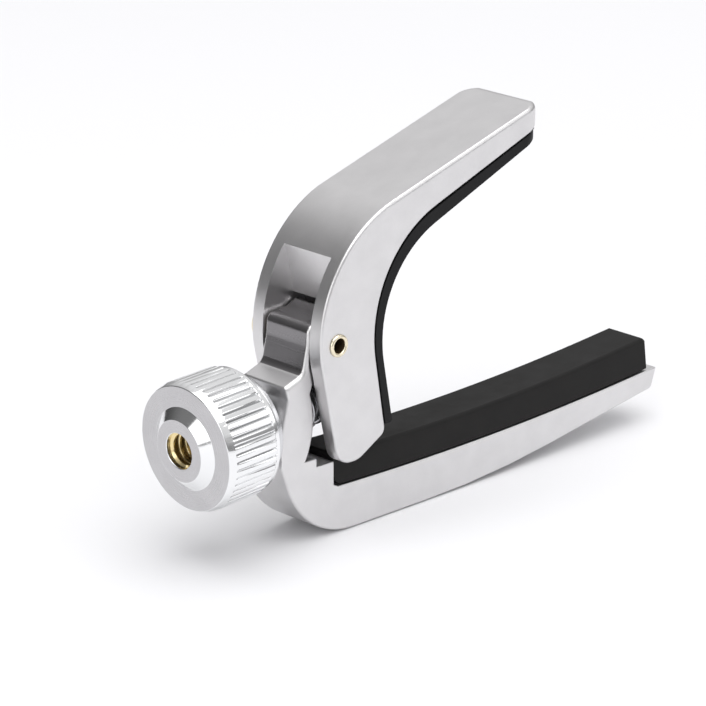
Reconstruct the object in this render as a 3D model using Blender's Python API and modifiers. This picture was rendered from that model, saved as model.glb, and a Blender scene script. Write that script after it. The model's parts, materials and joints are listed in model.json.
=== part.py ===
"""Guitar capo with a screw-drawn jaw, modelled as separate pieces in metres, with +Z up.

The string bar lies along X and stands on Z = 0. The jaw arm swings about a rivet that runs
along Y. Behind the frame's spine a thumb nut draws an eye bolt, which pulls the arm's tail
towards the spine and so closes the jaws. The pieces are placed with the jaws fully open.

Places called "x, z from the pivot" are measured from the rivet's axis. Places called
"along the screw" are measured from the swivel centre, positive towards the arm.
"""

import math

import bmesh
import bpy
from mathutils import Matrix, Vector

MM = 0.001

# Overall sizes
BAR_REACH = 62.5 * MM  # pivot to the bar's tip, along X
ARM_REACH = 36.7 * MM  # pivot to the arm's tip, along X
ARM_WIDTH = 12.6 * MM
FRAME_WIDTH = 8.0 * MM
PIVOT_HEIGHT = 26.0 * MM

# Clearances
SIDE_CLEARANCE = 0.25 * MM  # arm cheek to frame, each side
CONTACT_GAP = 0.2 * MM  # between pieces that rest on each other
RUNNING_GAP = 0.1 * MM  # round a pin or a sleeve, on the radius
BOLT_CLEARANCE = 0.3 * MM  # round the bolt where it passes freely, on the radius

# Jaw arm
ARM_RISE = 24.51 * MM  # top of the arm's tip above the pivot
ARM_TIP_DEPTH = 3.0 * MM
ARM_TIP_LEAN = 0.4 * MM  # how far the tip's top edge stands back from its foot
ARM_TIP_ROUND = 1.6 * MM
ARM_BACK = 3.0 * MM  # back of the elbow behind the pivot
ARM_BACK_SLOPE = 0.291  # rise of the arm's back for each length towards the tip
ELBOW_ROUND = 18.0 * MM
ELBOW_FOOT = -1.5 * MM  # where the elbow's back turns towards the tail, from the pivot
ELBOW_FOOT_ROUND = 12.0 * MM
INNER_ELBOW = (4.45 * MM, 9.8 * MM)  # x, z from the pivot, where the inner lines would cross
INNER_ELBOW_ROUND = 16.0 * MM
TIP_CORNER = 3.0 * MM
TAIL_DROP = 16.0 * MM
TAIL_FRONT = 8.7 * MM
TAIL_HEEL_X = 0.2 * MM
TAIL_HEEL_ROUND = 2.6 * MM
TAIL_TOE_X = 3.6 * MM
TAIL_TOE_ROUND = 3.0 * MM
CHEEK_PAST_WEB = 0.9 * MM  # how far the cheeks' front edges run on below the web
CHEEK_ROUND = 1.2 * MM  # corner below that
WEB_THICKNESS = 1.6 * MM
WEB_DROP = 12.5 * MM
WEB_ELBOW_FRONT = 1.0 * MM  # channel's corners at the web, in front of the inner elbow
WEB_KNEE_FRONT = 2.4 * MM
WEB_KNEE_ROUND = 8.0 * MM
WEDGE_TOP = 10.7 * MM
WEDGE_TOP_INSET = 1.31 * MM  # top of the wedge's steep part behind its foot
WEDGE_RISE = 1.7 * MM  # further rise of the wedge to the back of the channel
WEDGE_FOOT = (2.3 * MM, 4.15 * MM)
NECK_PAD_THICKNESS = 1.2 * MM
NECK_PAD_INSET = 0.15 * MM  # pad's end inside the arm's tip
NECK_PAD_FOOT = 0.1 * MM  # pad's foot above the web's
NECK_PAD_EDGE = 0.4 * MM

# Frame
BAR_TIP_DEPTH = 2.9 * MM
SEAT_HEIGHT = 5.9 * MM  # lowest place of the string pad's seat
SEAT_RADIUS = 509.0 * MM
SEAT_LOW_X = 21.2 * MM  # from the pivot to the lowest place of the seat
STRING_PAD_HEIGHT = 4.15 * MM
STRING_PAD_RADIUS = 406.0 * MM
STRING_PAD_DRAFT = 0.5 * MM
STRING_PAD_CHAMFER = 0.7 * MM
PAD_START = 1.4 * MM  # from the pivot to the wall behind the string pad
PAD_LIP = 1.7 * MM  # bare bar beyond the string pad
SEAT_FILLET = (0.8 * MM, 0.4 * MM)  # along the seat, and up the wall behind the pad
LEDGE_HEIGHT = 9.85 * MM
LEDGE_START = -1.55 * MM  # from the pivot
NOTCH_STEP = 1.15 * MM  # floor of the notch at the spine's foot above the ledge
NOTCH_INSET = 0.25 * MM
HEEL_RADIUS = 12.0 * MM
HEEL_FRONT = 3.95 * MM  # corner of the heel in front of the spine's outer face
SPINE_BULGE = 0.6 * MM  # spine's back behind the screw's spot face
SPINE_BULGE_DROP = 4.0 * MM  # lowest place of the bulge, below the screw
SPINE_BULGE_ROUND = 7.0 * MM
SPINE_HEAD_RISE = 3.4 * MM  # top of the spine's curved inner face, above the swivel centre
SPINE_FOOT_DROP = 4.8 * MM  # its foot, below the swivel centre
BAR_TIP_LEAN = 0.8 * MM
BAR_TIP_ROUND = 0.7 * MM
UNDERSIDE_BREAK = 32.9 * MM  # from the bar's tip to where the underside leaves the flat
UNDERSIDE_ROUND = 160.0 * MM
# Front of the spine's top, round the pivot, then down its inner side: x, z, radius from the pivot
LUG_CORNERS = [
    (-6.4 * MM, -6.1 * MM, 1.0 * MM),
    (-6.8 * MM, -4.55 * MM, 0.7 * MM),
    (-3.75 * MM, -3.5 * MM, 1.4 * MM),
    (-2.95 * MM, 0.0 * MM, 3.0 * MM),
    (-2.8 * MM, 2.55 * MM, 1.3 * MM),
    (0.9 * MM, 2.8 * MM, 0.4 * MM),
    (2.35 * MM, 3.5 * MM, 0.4 * MM),
    (3.6 * MM, 1.5 * MM, 1.3 * MM),
    (3.4 * MM, -2.5 * MM, 2.0 * MM),
    (-2.0 * MM, -5.0 * MM, 1.0 * MM),
]

# Screw
SCREW_TILT = math.radians(3.0)
SCREW_DROP = 9.03 * MM  # screw axis below the pivot, at the pivot's X
SPINE_BACK = 7.65 * MM  # spine's outer face behind the pivot, on the screw axis
SPINE_THICKNESS = 5.65 * MM
SWIVEL_DEPTH = 5.4 * MM  # swivel centre outside the spine's outer face
SWIVEL_RADIUS = 6.2 * MM
THREAD_DIAMETER = 4.8 * MM
THREAD_DEPTH = 0.5 * MM
EYE_X = 5.1 * MM  # eye's centre in front of the pivot
EYE_RADIUS = 2.2 * MM
EYE_WIDTH = 6.0 * MM
EYE_SWING = 1.2 * MM  # room for the eye above and below it in the web's window
BOLT_PIN_DIAMETER = 2.5 * MM
BOLT_PIN_GRIP = 1.0 * MM  # length of pin in each cheek
BOLT_PIN_PLAY = 0.15 * MM  # at each end of the pin
BOLT_PLAIN_START = 1.0 * MM  # end of the thread, inside the spine's outer face
BOLT_END = 9.1 * MM  # bolt's tip behind the spine's outer face
BOLT_SWING = 1.4 * MM  # how far the bolt drops in the spine as the jaws close
COLLAR_RADIUS = 3.1 * MM
COLLAR_THICKNESS = 0.8 * MM
SPRING_WIRE = 0.55 * MM
SPRING_TURNS = 5
SPRING_POCKET = 3.4 * MM
SPRING_CLEARANCE = 0.15 * MM  # round the spring in its pocket

# Thumb nut and its washers
KNOB_DIAMETER = 16.7 * MM
KNOB_LENGTH = 8.3 * MM
KNOB_FLUTES = 50
FLUTE_DEPTH = 0.45 * MM
FLUTE_CREST = 0.3  # shares of a flute's pitch: end of the crest, then the floor's ends
FLUTE_FLOOR = (0.5, 0.8)
FLUTE_JOIN = 0.05 * MM  # flutes' floor outside the turned body
GRIP_WALL = 1.0 * MM
KNOB_BAND = 1.35 * MM
KNOB_BAND_INSET = 0.1 * MM
KNOB_BAND_STEP = 0.3 * MM
KNOB_FLANGE = 0.6 * MM
KNOB_FLANGE_INSET = 0.2 * MM
KNOB_FLANGE_STEP = 0.15 * MM
GRIP_OVERLAP = 0.1 * MM  # how far the flutes run into the band and the flange
BOSS_BASE_RADIUS = 5.9 * MM
BOSS_TOP_RADIUS = 4.2 * MM
BOSS_HEIGHT = 1.05 * MM
INSERT_RADIUS = 3.3 * MM
INSERT_LIP = 0.5 * MM
INSERT_RECESS = 0.3 * MM  # insert's back inside the knob's
BOSS_HOLE_INSET = 0.1 * MM  # hole in the boss, smaller than the thread
SWIVEL_WASHER_RADIUS = 3.7 * MM
SWIVEL_WASHER_THICKNESS = 1.55 * MM
SWIVEL_WASHER_PROUD = 0.35 * MM  # its shoulder outside the spine's outer face
SWIVEL_NOSE_RADIUS = 3.3 * MM
CUP_CLEARANCE = 0.15 * MM
KNOB_WASHER_RADIUS = 6.7 * MM
KNOB_WASHER_THICKNESS = 0.7 * MM
FRICTION_RING_RADIUS = 6.3 * MM
FRICTION_RING_THICKNESS = 0.75 * MM
SPRING_WASHER_THICKNESS = 0.5 * MM
SPRING_WASHER_PLAY = 0.35 * MM

# Pivot
RIVET_DIAMETER = 2.7 * MM
RIVET_HOLLOW = 0.92 * MM
RIVET_HOLLOW_DEPTH = 4.0 * MM
RIVET_HOLLOW_CONE = 0.5 * MM
RIVET_ROLL = 0.12 * MM
RIVET_PROUD = 0.25 * MM
RIVET_EDGE = 0.1 * MM
RIVET_HEAD_RADIUS = 2.5 * MM
RIVET_HEAD_HEIGHT = 1.4 * MM
BUSH_WALL = 0.6 * MM

EDGE_ROUND = 0.35 * MM
RIM_ROUND = 0.3 * MM
TANGENT_SHARE = 0.9  # most of a side that the rounding of one corner may take up
CHORD_ERROR = 0.03 * MM
WELD = 0.001 * MM
COARSEST_STEP = math.radians(15.0)
RIM_ANGLE = math.radians(60.0)  # edges that turn by less stay as they are
ROUND_SIDES = 40
PIN_SIDES = 24
OVERSHOOT = 2.0 * MM  # how far a cutter runs past what it cuts
PIVOT_CUTTERS = ("arm_", "eye_", "pin_", "neck_")
SCREW_CUTTERS = ("knob_", "bolt_eye")

# Worked out from the sizes above
SLOT_WIDTH = FRAME_WIDTH + 2 * SIDE_CLEARANCE
THREAD_RADIUS = THREAD_DIAMETER / 2
ROOT_RADIUS = THREAD_RADIUS - THREAD_DEPTH
BOLT_HOLE_RADIUS = THREAD_RADIUS + BOLT_CLEARANCE
SPRING_INNER = THREAD_RADIUS + RUNNING_GAP * 2
SPRING_OUTER = SPRING_INNER + SPRING_WIRE
SPINE_FACE = SWIVEL_DEPTH  # spine's outer face, along the screw
SPINE_INSIDE = SWIVEL_DEPTH + SPINE_THICKNESS
EYE_CENTRE = SWIVEL_DEPTH + (EYE_X + SPINE_BACK) / math.cos(SCREW_TILT)
COLLAR_START = EYE_CENTRE - EYE_RADIUS - COLLAR_THICKNESS / 2
SWIVEL_WASHER_FRONT = SPINE_FACE - SWIVEL_WASHER_PROUD
SWIVEL_WASHER_END = SWIVEL_WASHER_FRONT - SWIVEL_WASHER_THICKNESS
KNOB_WASHER_END = SWIVEL_WASHER_END - CONTACT_GAP - KNOB_WASHER_THICKNESS
FRICTION_RING_END = KNOB_WASHER_END - CONTACT_GAP - FRICTION_RING_THICKNESS
KNOB_BACK = FRICTION_RING_END - CONTACT_GAP
KNOB_FACE = KNOB_BACK - KNOB_LENGTH
BOSS_FACE = KNOB_FACE - BOSS_HEIGHT
SWIVEL_X = -SPINE_BACK - SWIVEL_DEPTH * math.cos(SCREW_TILT)
SWIVEL_Z = -SCREW_DROP + SWIVEL_X * math.sin(SCREW_TILT)
KNOB_REACH = -SWIVEL_X - BOSS_FACE * math.cos(SCREW_TILT) + BOSS_TOP_RADIUS * math.sin(SCREW_TILT)
PIVOT_X = (KNOB_REACH - BAR_REACH) / 2
TIP_X = PIVOT_X + BAR_REACH


def clear_scene():
    for obj in list(bpy.data.objects):
        bpy.data.objects.remove(obj, do_unlink=True)


def new_collection(name, hidden=False):
    collection = bpy.data.collections.new(name)
    bpy.context.scene.collection.children.link(collection)
    collection.hide_render = hidden
    return collection


def new_material(name, colour, roughness, metallic):
    material = bpy.data.materials.new(name)
    material.use_nodes = True
    shader = material.node_tree.nodes["Principled BSDF"]
    shader.inputs["Base Color"].default_value = (*colour, 1.0)
    shader.inputs["Roughness"].default_value = roughness
    shader.inputs["Metallic"].default_value = metallic
    return material


def arc_steps(radius, turn):
    """Number of straight pieces for an arc, so that no piece strays further than CHORD_ERROR."""
    finest = 2 * math.acos(1 - min(CHORD_ERROR / radius, 0.5))
    return max(1, math.ceil(turn / min(COARSEST_STEP, finest)))


def corner_arc(before, here, after, radius):
    """Points of the arc that rounds the corner at here, or the corner itself if it is sharp."""
    back = before - here
    ahead = after - here
    half = back.angle(ahead) / 2
    turn = math.pi - 2 * half
    radius = min(radius, TANGENT_SHARE * min(back.length, ahead.length) * math.tan(half))
    if radius <= 0 or turn < 1e-4:
        return [here]
    centre = here + (back.normalized() + ahead.normalized()).normalized() * radius / math.sin(half)
    start = here + back.normalized() * radius / math.tan(half) - centre
    side = math.copysign(1, back.cross(ahead))
    steps = arc_steps(radius, turn)
    return [centre + Matrix.Rotation(-side * turn * i / steps, 2) @ start for i in range(steps + 1)]


def rounded(corners):
    """Closed outline from corners (x, z, radius)."""
    outline = []
    for i, (x, z, radius) in enumerate(corners):
        before = Vector(corners[i - 1][:2])
        after = Vector(corners[(i + 1) % len(corners)][:2])
        outline += corner_arc(before, Vector((x, z)), after, radius)
    return outline


def arc_about(centre, radius, start, end):
    """Points of an arc about centre, from the angle start to the angle end."""
    steps = arc_steps(radius, abs(end - start))
    angles = [start + (end - start) * i / steps for i in range(steps + 1)]
    return [(centre[0] + radius * math.cos(a), centre[1] + radius * math.sin(a)) for a in angles]


def as_mesh(obj, collection):
    """Turn a curve object into a welded mesh object with flat faces in one piece."""
    bpy.context.view_layer.update()
    graph = bpy.context.evaluated_depsgraph_get()
    mesh = bpy.data.meshes.new_from_object(obj.evaluated_get(graph))
    name = obj.name
    matrix = obj.matrix_world.copy()
    bpy.data.objects.remove(obj, do_unlink=True)
    body = bmesh.new()
    body.from_mesh(mesh)
    bmesh.ops.remove_doubles(body, verts=body.verts, dist=WELD)
    bmesh.ops.dissolve_limit(body, angle_limit=0.001, verts=body.verts, edges=body.edges)
    bmesh.ops.transform(body, matrix=matrix, verts=body.verts)
    bmesh.ops.recalc_face_normals(body, faces=body.faces)
    body.to_mesh(mesh)
    body.free()
    solid = bpy.data.objects.new(name, mesh)
    collection.objects.link(solid)
    return solid


def plate(name, outline, width, collection, plan=False):
    """Flat solid of an outline in XZ, centred on Y = 0, or in XY and centred on Z = 0 for a plan."""
    curve = bpy.data.curves.new(name, "CURVE")
    curve.dimensions = "2D"
    curve.fill_mode = "BOTH"
    curve.extrude = width / 2
    spline = curve.splines.new("POLY")
    spline.points.add(len(outline) - 1)
    spline.use_cyclic_u = True
    for point, (x, z) in zip(spline.points, outline):
        point.co = (x, z, 0, 1)
    obj = bpy.data.objects.new(name, curve)
    obj.rotation_euler.x = 0 if plan else math.pi / 2
    collection.objects.link(obj)
    return as_mesh(obj, collection)


def wire(name, points, radius, collection):
    """Round wire through the points, with closed ends."""
    curve = bpy.data.curves.new(name, "CURVE")
    curve.dimensions = "3D"
    curve.bevel_depth = radius
    curve.bevel_resolution = 2
    curve.use_fill_caps = True
    spline = curve.splines.new("POLY")
    spline.points.add(len(points) - 1)
    for point, place in zip(spline.points, points):
        point.co = (*place, 1)
    obj = bpy.data.objects.new(name, curve)
    collection.objects.link(obj)
    return as_mesh(obj, collection)


def turned(name, profile, collection, sides=ROUND_SIDES, ring=True):
    """Solid turned about Z from a profile of (radius, z) that runs down its outer side."""
    mesh = bpy.data.meshes.new(name)
    edges = [(i, i + 1) for i in range(len(profile) - 1)]
    if ring:
        edges.append((len(profile) - 1, 0))
    mesh.from_pydata([(r, 0, z) for r, z in profile], edges, [])
    obj = bpy.data.objects.new(name, mesh)
    collection.objects.link(obj)
    screw = obj.modifiers.new("Turn", "SCREW")
    screw.steps = sides
    screw.render_steps = sides
    screw.use_merge_vertices = True
    screw.merge_threshold = WELD
    return obj


def sleeve(name, outer, inner, top, bottom, collection, sides=ROUND_SIDES):
    """Plain washer or tube between two heights on its axis."""
    profile = [(outer, top), (outer, bottom), (inner, bottom), (inner, top)]
    return turned(name, profile, collection, sides)


def rod(name, radius, top, bottom, collection, sides=PIN_SIDES):
    """Plain round bar between two heights on its axis."""
    profile = [(0, top), (radius, top), (radius, bottom), (0, bottom)]
    return turned(name, profile, collection, sides, ring=False)


def box(name, low, high, collection):
    mesh = bpy.data.meshes.new(name)
    body = bmesh.new()
    bmesh.ops.create_cube(body, size=1)
    size = Vector(high) - Vector(low)
    place = Matrix.Translation((Vector(low) + Vector(high)) / 2) @ Matrix.Diagonal((*size, 1))
    bmesh.ops.transform(body, matrix=place, verts=body.verts)
    body.to_mesh(mesh)
    body.free()
    obj = bpy.data.objects.new(name, mesh)
    collection.objects.link(obj)
    return obj


def ball(name, radius, collection):
    mesh = bpy.data.meshes.new(name)
    body = bmesh.new()
    bmesh.ops.create_uvsphere(body, u_segments=ROUND_SIDES, v_segments=PIN_SIDES, radius=radius)
    body.to_mesh(mesh)
    body.free()
    obj = bpy.data.objects.new(name, mesh)
    collection.objects.link(obj)
    return obj


def combine(target, tool, operation="DIFFERENCE"):
    """Cut, join or trim target with tool, which stays in the scene as a hidden wire."""
    tool.display_type = "WIRE"
    tool.hide_render = True
    boolean = target.modifiers.new(tool.name, "BOOLEAN")
    boolean.operation = operation
    boolean.solver = "EXACT"
    boolean.object = tool


def round_rims(plate):
    """Round the rims of a plate, whose outline has no outer corner tighter than the rounding."""
    bevel = plate.modifiers.new("Round rims", "BEVEL")
    bevel.width = RIM_ROUND
    bevel.segments = 2
    bevel.limit_method = "ANGLE"
    bevel.angle_limit = RIM_ANGLE
    bevel.use_clamp_overlap = False


def new_axis(name, location, rotation=(0, 0, 0)):
    axis = bpy.data.objects.new(name, None)
    axis.location = location
    axis.rotation_euler = rotation
    axis.empty_display_size = 5 * MM
    bpy.context.scene.collection.objects.link(axis)
    return axis


def finish(obj, material):
    obj.data.materials.append(material)
    obj.data.shade_smooth()
    obj.data.set_sharp_from_angle(angle=math.radians(30.0))


def liner_x(z):
    """X of the arm's straight inner line at a height z from the pivot, below the elbow."""
    share = (INNER_ELBOW[1] - z) / (INNER_ELBOW[1] + TAIL_DROP)
    return INNER_ELBOW[0] + share * (TAIL_FRONT - INNER_ELBOW[0])


def inner_line(depth):
    """Corners of the arm's inner line, moved inwards by depth, from the tail up to the tip."""
    tip_z = ARM_RISE - ARM_TIP_DEPTH
    slope = math.atan2(tip_z - INNER_ELBOW[1], ARM_REACH - INNER_ELBOW[0])
    lean = math.atan2(TAIL_FRONT - INNER_ELBOW[0], INNER_ELBOW[1] + TAIL_DROP)
    tail = (liner_x(-WEB_DROP) + depth / math.cos(lean), -WEB_DROP)
    elbow_z = INNER_ELBOW[1] - depth * (1 + math.sin(slope)) / math.cos(slope)
    elbow = (INNER_ELBOW[0] + depth, elbow_z)
    tip = (ARM_REACH, tip_z - depth / math.cos(slope))
    return [tail, elbow, tip]


def tip_plan(collection, name, margin):
    """Plan outline that rounds the corners of the arm's tip."""
    half = ARM_WIDTH / 2 - margin
    end = ARM_REACH - margin
    back = -ARM_REACH
    corners = [(back, -half, 0), (end, -half, TIP_CORNER), (end, half, TIP_CORNER), (back, half, 0)]
    return plate(name, rounded(corners), 4 * ARM_RISE, collection, plan=True)


def arm_outline():
    tail, elbow, tip = inner_line(0)
    crown_z = ARM_RISE - ARM_BACK_SLOPE * (ARM_REACH + ARM_BACK)
    cheek_end = -WEB_DROP - CHEEK_PAST_WEB
    corners = [
        (*tip, EDGE_ROUND),
        (ARM_REACH - ARM_TIP_LEAN, ARM_RISE, ARM_TIP_ROUND),
        (-ARM_BACK, crown_z, ELBOW_ROUND),
        (-ARM_BACK, ELBOW_FOOT, ELBOW_FOOT_ROUND),
        (TAIL_HEEL_X, -TAIL_DROP, TAIL_HEEL_ROUND),
        (TAIL_TOE_X, -TAIL_DROP, TAIL_TOE_ROUND),
        (liner_x(cheek_end), cheek_end, CHEEK_ROUND),
        (*elbow, INNER_ELBOW_ROUND),
    ]
    return rounded(corners)


def make_arm(parts, cutters):
    arm = plate("arm", arm_outline(), ARM_WIDTH, parts)
    round_rims(arm)
    combine(arm, tip_plan(cutters, "arm_tip_plan", 0), "INTERSECT")
    combine(arm, plate("arm_channel", arm_channel(), SLOT_WIDTH, cutters))
    combine(arm, box("eye_window", *eye_window(), cutters))
    groove_width = SLOT_WIDTH + 2 * (BOLT_PIN_GRIP + BOLT_PIN_PLAY)
    combine(arm, plate("pin_groove", pin_groove(), groove_width, cutters))
    bore = rod("arm_pivot_bore", RIVET_DIAMETER / 2 + RUNNING_GAP, ARM_WIDTH, -ARM_WIDTH, cutters)
    bore.rotation_euler.x = -math.pi / 2
    combine(arm, bore)
    return arm


def arm_channel():
    """Outline of the slot between the cheeks: a sloping wedge above, then open to the tail."""
    tail, elbow, _ = inner_line(-WEB_THICKNESS)
    outside = -ARM_BACK - 3 * OVERSHOOT
    below = -TAIL_DROP - 2 * OVERSHOOT
    front = TAIL_FRONT + 2 * OVERSHOOT
    corners = [
        (outside, WEDGE_TOP + WEDGE_RISE, 0),
        (WEDGE_FOOT[0] - WEDGE_TOP_INSET, WEDGE_TOP, 0),
        (*WEDGE_FOOT, 0),
        (elbow[0] + WEB_ELBOW_FRONT, WEDGE_FOOT[1], EDGE_ROUND),
        (elbow[0] + WEB_KNEE_FRONT, 0, WEB_KNEE_ROUND),
        (tail[0], -WEB_DROP, 0),
        (front, -WEB_DROP, 0),
        (front, below, 0),
        (outside, below, 0),
    ]
    return rounded(corners)


def eye_centre_z():
    return -SCREW_DROP + EYE_X * math.sin(SCREW_TILT)


def eye_window():
    """Corners of the opening in the web that the bolt's eye drops in through."""
    half_height = EYE_RADIUS + EYE_SWING
    half_width = EYE_WIDTH / 2 + BOLT_CLEARANCE
    z = eye_centre_z()
    low = (EYE_X - half_height, -half_width, z - half_height)
    return low, (TAIL_FRONT + OVERSHOOT, half_width, z + half_height)


def pin_groove():
    """Outline of the round-bottomed groove that the bolt's pin lies in, open towards the neck."""
    radius = BOLT_PIN_DIAMETER / 2 + RUNNING_GAP
    centre = (EYE_X, eye_centre_z())
    bottom = arc_about(centre, radius, math.radians(90), math.radians(270))
    front = TAIL_FRONT + OVERSHOOT
    return bottom + [(front, centre[1] - radius), (front, centre[1] + radius)]


def make_neck_pad(parts, cutters):
    outer = inner_line(CONTACT_GAP)
    inner = inner_line(CONTACT_GAP + NECK_PAD_THICKNESS)
    foot = -WEB_DROP + NECK_PAD_FOOT
    outer_round = INNER_ELBOW_ROUND - CONTACT_GAP
    corners = [
        (outer[0][0], foot, 0),
        (*outer[1], outer_round),
        (*outer[2], 0),
        (*inner[2], NECK_PAD_EDGE),
        (*inner[1], outer_round - NECK_PAD_THICKNESS),
        (inner[0][0], foot, NECK_PAD_EDGE),
    ]
    pad = plate("neck_pad", rounded(corners), ARM_WIDTH, parts)
    combine(pad, tip_plan(cutters, "neck_pad_tip_plan", NECK_PAD_INSET), "INTERSECT")
    return pad


def seat_z(x, height, radius):
    """Height of a shallow hollow arc whose lowest place is at SEAT_LOW_X from the pivot."""
    reach = x - PIVOT_X - SEAT_LOW_X
    return height + radius - math.sqrt(radius**2 - reach**2)


def seat_arc(start, end, height, radius, steps=10):
    places = [start + (end - start) * i / steps for i in range(steps + 1)]
    return [(x, seat_z(x, height, radius)) for x in places]


def spine_inner_face(swivel, floor):
    """Arc about the swivel centre, from the spine's head down to its foot above the notch."""
    lowest = max(-SPINE_FOOT_DROP, floor + EDGE_ROUND - swivel[1])
    head = math.asin(SPINE_HEAD_RISE / SPINE_INSIDE)
    foot = math.asin(lowest / SPINE_INSIDE)
    return arc_about(swivel, SPINE_INSIDE, head, foot)


def frame_outline():
    pad_wall = PIVOT_X + PAD_START
    back = PIVOT_X - SPINE_BACK
    swivel = (PIVOT_X + SWIVEL_X, PIVOT_HEIGHT + SWIVEL_Z)
    floor = LEDGE_HEIGHT + NOTCH_STEP
    ledge = PIVOT_X + LEDGE_START
    lug = [(PIVOT_X + x, PIVOT_HEIGHT + z, r) for x, z, r in LUG_CORNERS]
    inner_face = spine_inner_face(swivel, floor)
    seat = seat_arc(pad_wall + SEAT_FILLET[0], TIP_X, SEAT_HEIGHT, SEAT_RADIUS)
    corners = [
        (back + HEEL_FRONT, 0, HEEL_RADIUS),
        (back - SPINE_BULGE, PIVOT_HEIGHT - SCREW_DROP - SPINE_BULGE_DROP, SPINE_BULGE_ROUND),
        *lug,
        *[(x, z, 0) for x, z in inner_face],
        (inner_face[-1][0] - NOTCH_INSET, floor, 0),
        (ledge, floor, EDGE_ROUND),
        (ledge, LEDGE_HEIGHT, EDGE_ROUND),
        (pad_wall, LEDGE_HEIGHT, EDGE_ROUND),
        (pad_wall, seat[0][1] + SEAT_FILLET[1], 0),
        *[(x, z, 0) for x, z in seat],
        (TIP_X - BAR_TIP_LEAN, seat[-1][1] - BAR_TIP_DEPTH, BAR_TIP_ROUND),
        (TIP_X - UNDERSIDE_BREAK, 0, UNDERSIDE_ROUND),
    ]
    return rounded(corners)


def make_frame(parts, cutters, screw, pivot):
    frame = plate("frame", frame_outline(), FRAME_WIDTH, parts)
    round_rims(frame)
    for tool in spine_tools(cutters):
        tool.parent = screw
        combine(frame, tool)
    bush_radius = RIVET_DIAMETER / 2 + BUSH_WALL + 2 * RUNNING_GAP
    bore = rod("lug_bore", bush_radius, FRAME_WIDTH, -FRAME_WIDTH, cutters)
    bore.rotation_euler.x = -math.pi / 2
    bore.parent = pivot
    combine(frame, bore)
    return frame


def spine_tools(cutters):
    """Cutters along the screw: the washer's spot face and cup, the bolt's slot and the spring's."""
    spot_face = rod("spot_face", FRAME_WIDTH, SWIVEL_WASHER_FRONT + CONTACT_GAP, 0, cutters)
    cup = ball("swivel_cup", SWIVEL_RADIUS + CUP_CLEARANCE, cutters)
    reach = (SPINE_FACE - OVERSHOOT, SPINE_INSIDE + OVERSHOOT)
    bolt_slot = dropped_slot("bolt_slot", BOLT_HOLE_RADIUS, *reach, cutters)
    pocket = (SPINE_INSIDE - SPRING_POCKET, SPINE_INSIDE + OVERSHOOT)
    spring_slot = dropped_slot("spring_slot", SPRING_OUTER + SPRING_CLEARANCE, *pocket, cutters)
    return [spot_face, cup, bolt_slot, spring_slot]


def dropped_slot(name, radius, start, end, cutters):
    """Slot round the screw that also leaves room for the bolt to drop by BOLT_SWING."""
    upper = arc_about((0, 0), radius, math.radians(90), math.radians(270))
    lower = arc_about((BOLT_SWING, 0), radius, math.radians(-90), math.radians(90))
    slot = plate(name, upper + lower, end - start, cutters, plan=True)
    slot.location.z = (start + end) / 2
    return slot


def make_string_pad(parts, cutters):
    start = PIVOT_X + PAD_START + CONTACT_GAP
    end = TIP_X - PAD_LIP
    height = SEAT_HEIGHT + STRING_PAD_HEIGHT
    under = seat_arc(start, end, SEAT_HEIGHT + CONTACT_GAP, SEAT_RADIUS)
    top = seat_arc(end, start, height, STRING_PAD_RADIUS)
    under_z = under[0][1]
    foot = [(start, under_z + STRING_PAD_CHAMFER), (start + STRING_PAD_CHAMFER, under_z)]
    pad = plate("string_pad", foot + under[1:] + top, FRAME_WIDTH, parts)
    for side in (-1, 1):
        wedge = pad_wedge(side, start, end, cutters)
        combine(pad, wedge)
    return pad


def pad_wedge(side, start, end, cutters):
    """Cutter that leans one flank of the string pad in towards its top."""
    base = side * FRAME_WIDTH / 2
    top = side * (FRAME_WIDTH / 2 - STRING_PAD_DRAFT)
    away = side * FRAME_WIDTH
    low = SEAT_HEIGHT
    high = SEAT_HEIGHT + 2 * STRING_PAD_HEIGHT
    lean = top - (base - top)
    outline = [(base, low), (lean, high), (away, high), (away, low)]
    wedge = plate(f"string_pad_flank_{side + 1}", outline, end - start + 2 * OVERSHOOT, cutters)
    wedge.rotation_euler.z = math.pi / 2
    wedge.location.x = (start + end) / 2
    return wedge


def make_rivet(parts):
    """Semi-tubular rivet: a domed head at +Y and a rolled, hollow end at -Y, turned about Y."""
    radius = RIVET_DIAMETER / 2
    half = ARM_WIDTH / 2
    head = half + CONTACT_GAP
    dome = [
        (RIVET_HEAD_RADIUS * math.sin(math.radians(a)), head + RIVET_HEAD_HEIGHT * math.cos(math.radians(a)))
        for a in range(0, 91, 15)
    ]
    end = -half - RIVET_PROUD
    hollow = end + RIVET_HOLLOW_DEPTH
    profile = [(0, head + RIVET_HEAD_HEIGHT)] + dome[1:] + [
        (radius, head),
        (radius, -half),
        (radius + RIVET_ROLL, -half - CONTACT_GAP / 2),
        (radius + RIVET_ROLL, end + RIVET_EDGE / 2),
        (radius - RIVET_EDGE, end),
        (RIVET_HOLLOW, end + RIVET_EDGE),
        (RIVET_HOLLOW, hollow),
        (0, hollow + RIVET_HOLLOW_CONE),
    ]
    return turned("pivot_rivet", profile, parts, PIN_SIDES, ring=False)


def make_bush(parts):
    inner = RIVET_DIAMETER / 2 + RUNNING_GAP
    half = FRAME_WIDTH / 2 + SIDE_CLEARANCE / 2
    return sleeve("pivot_bush", inner + BUSH_WALL, inner, half, -half, parts, PIN_SIDES)


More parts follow.
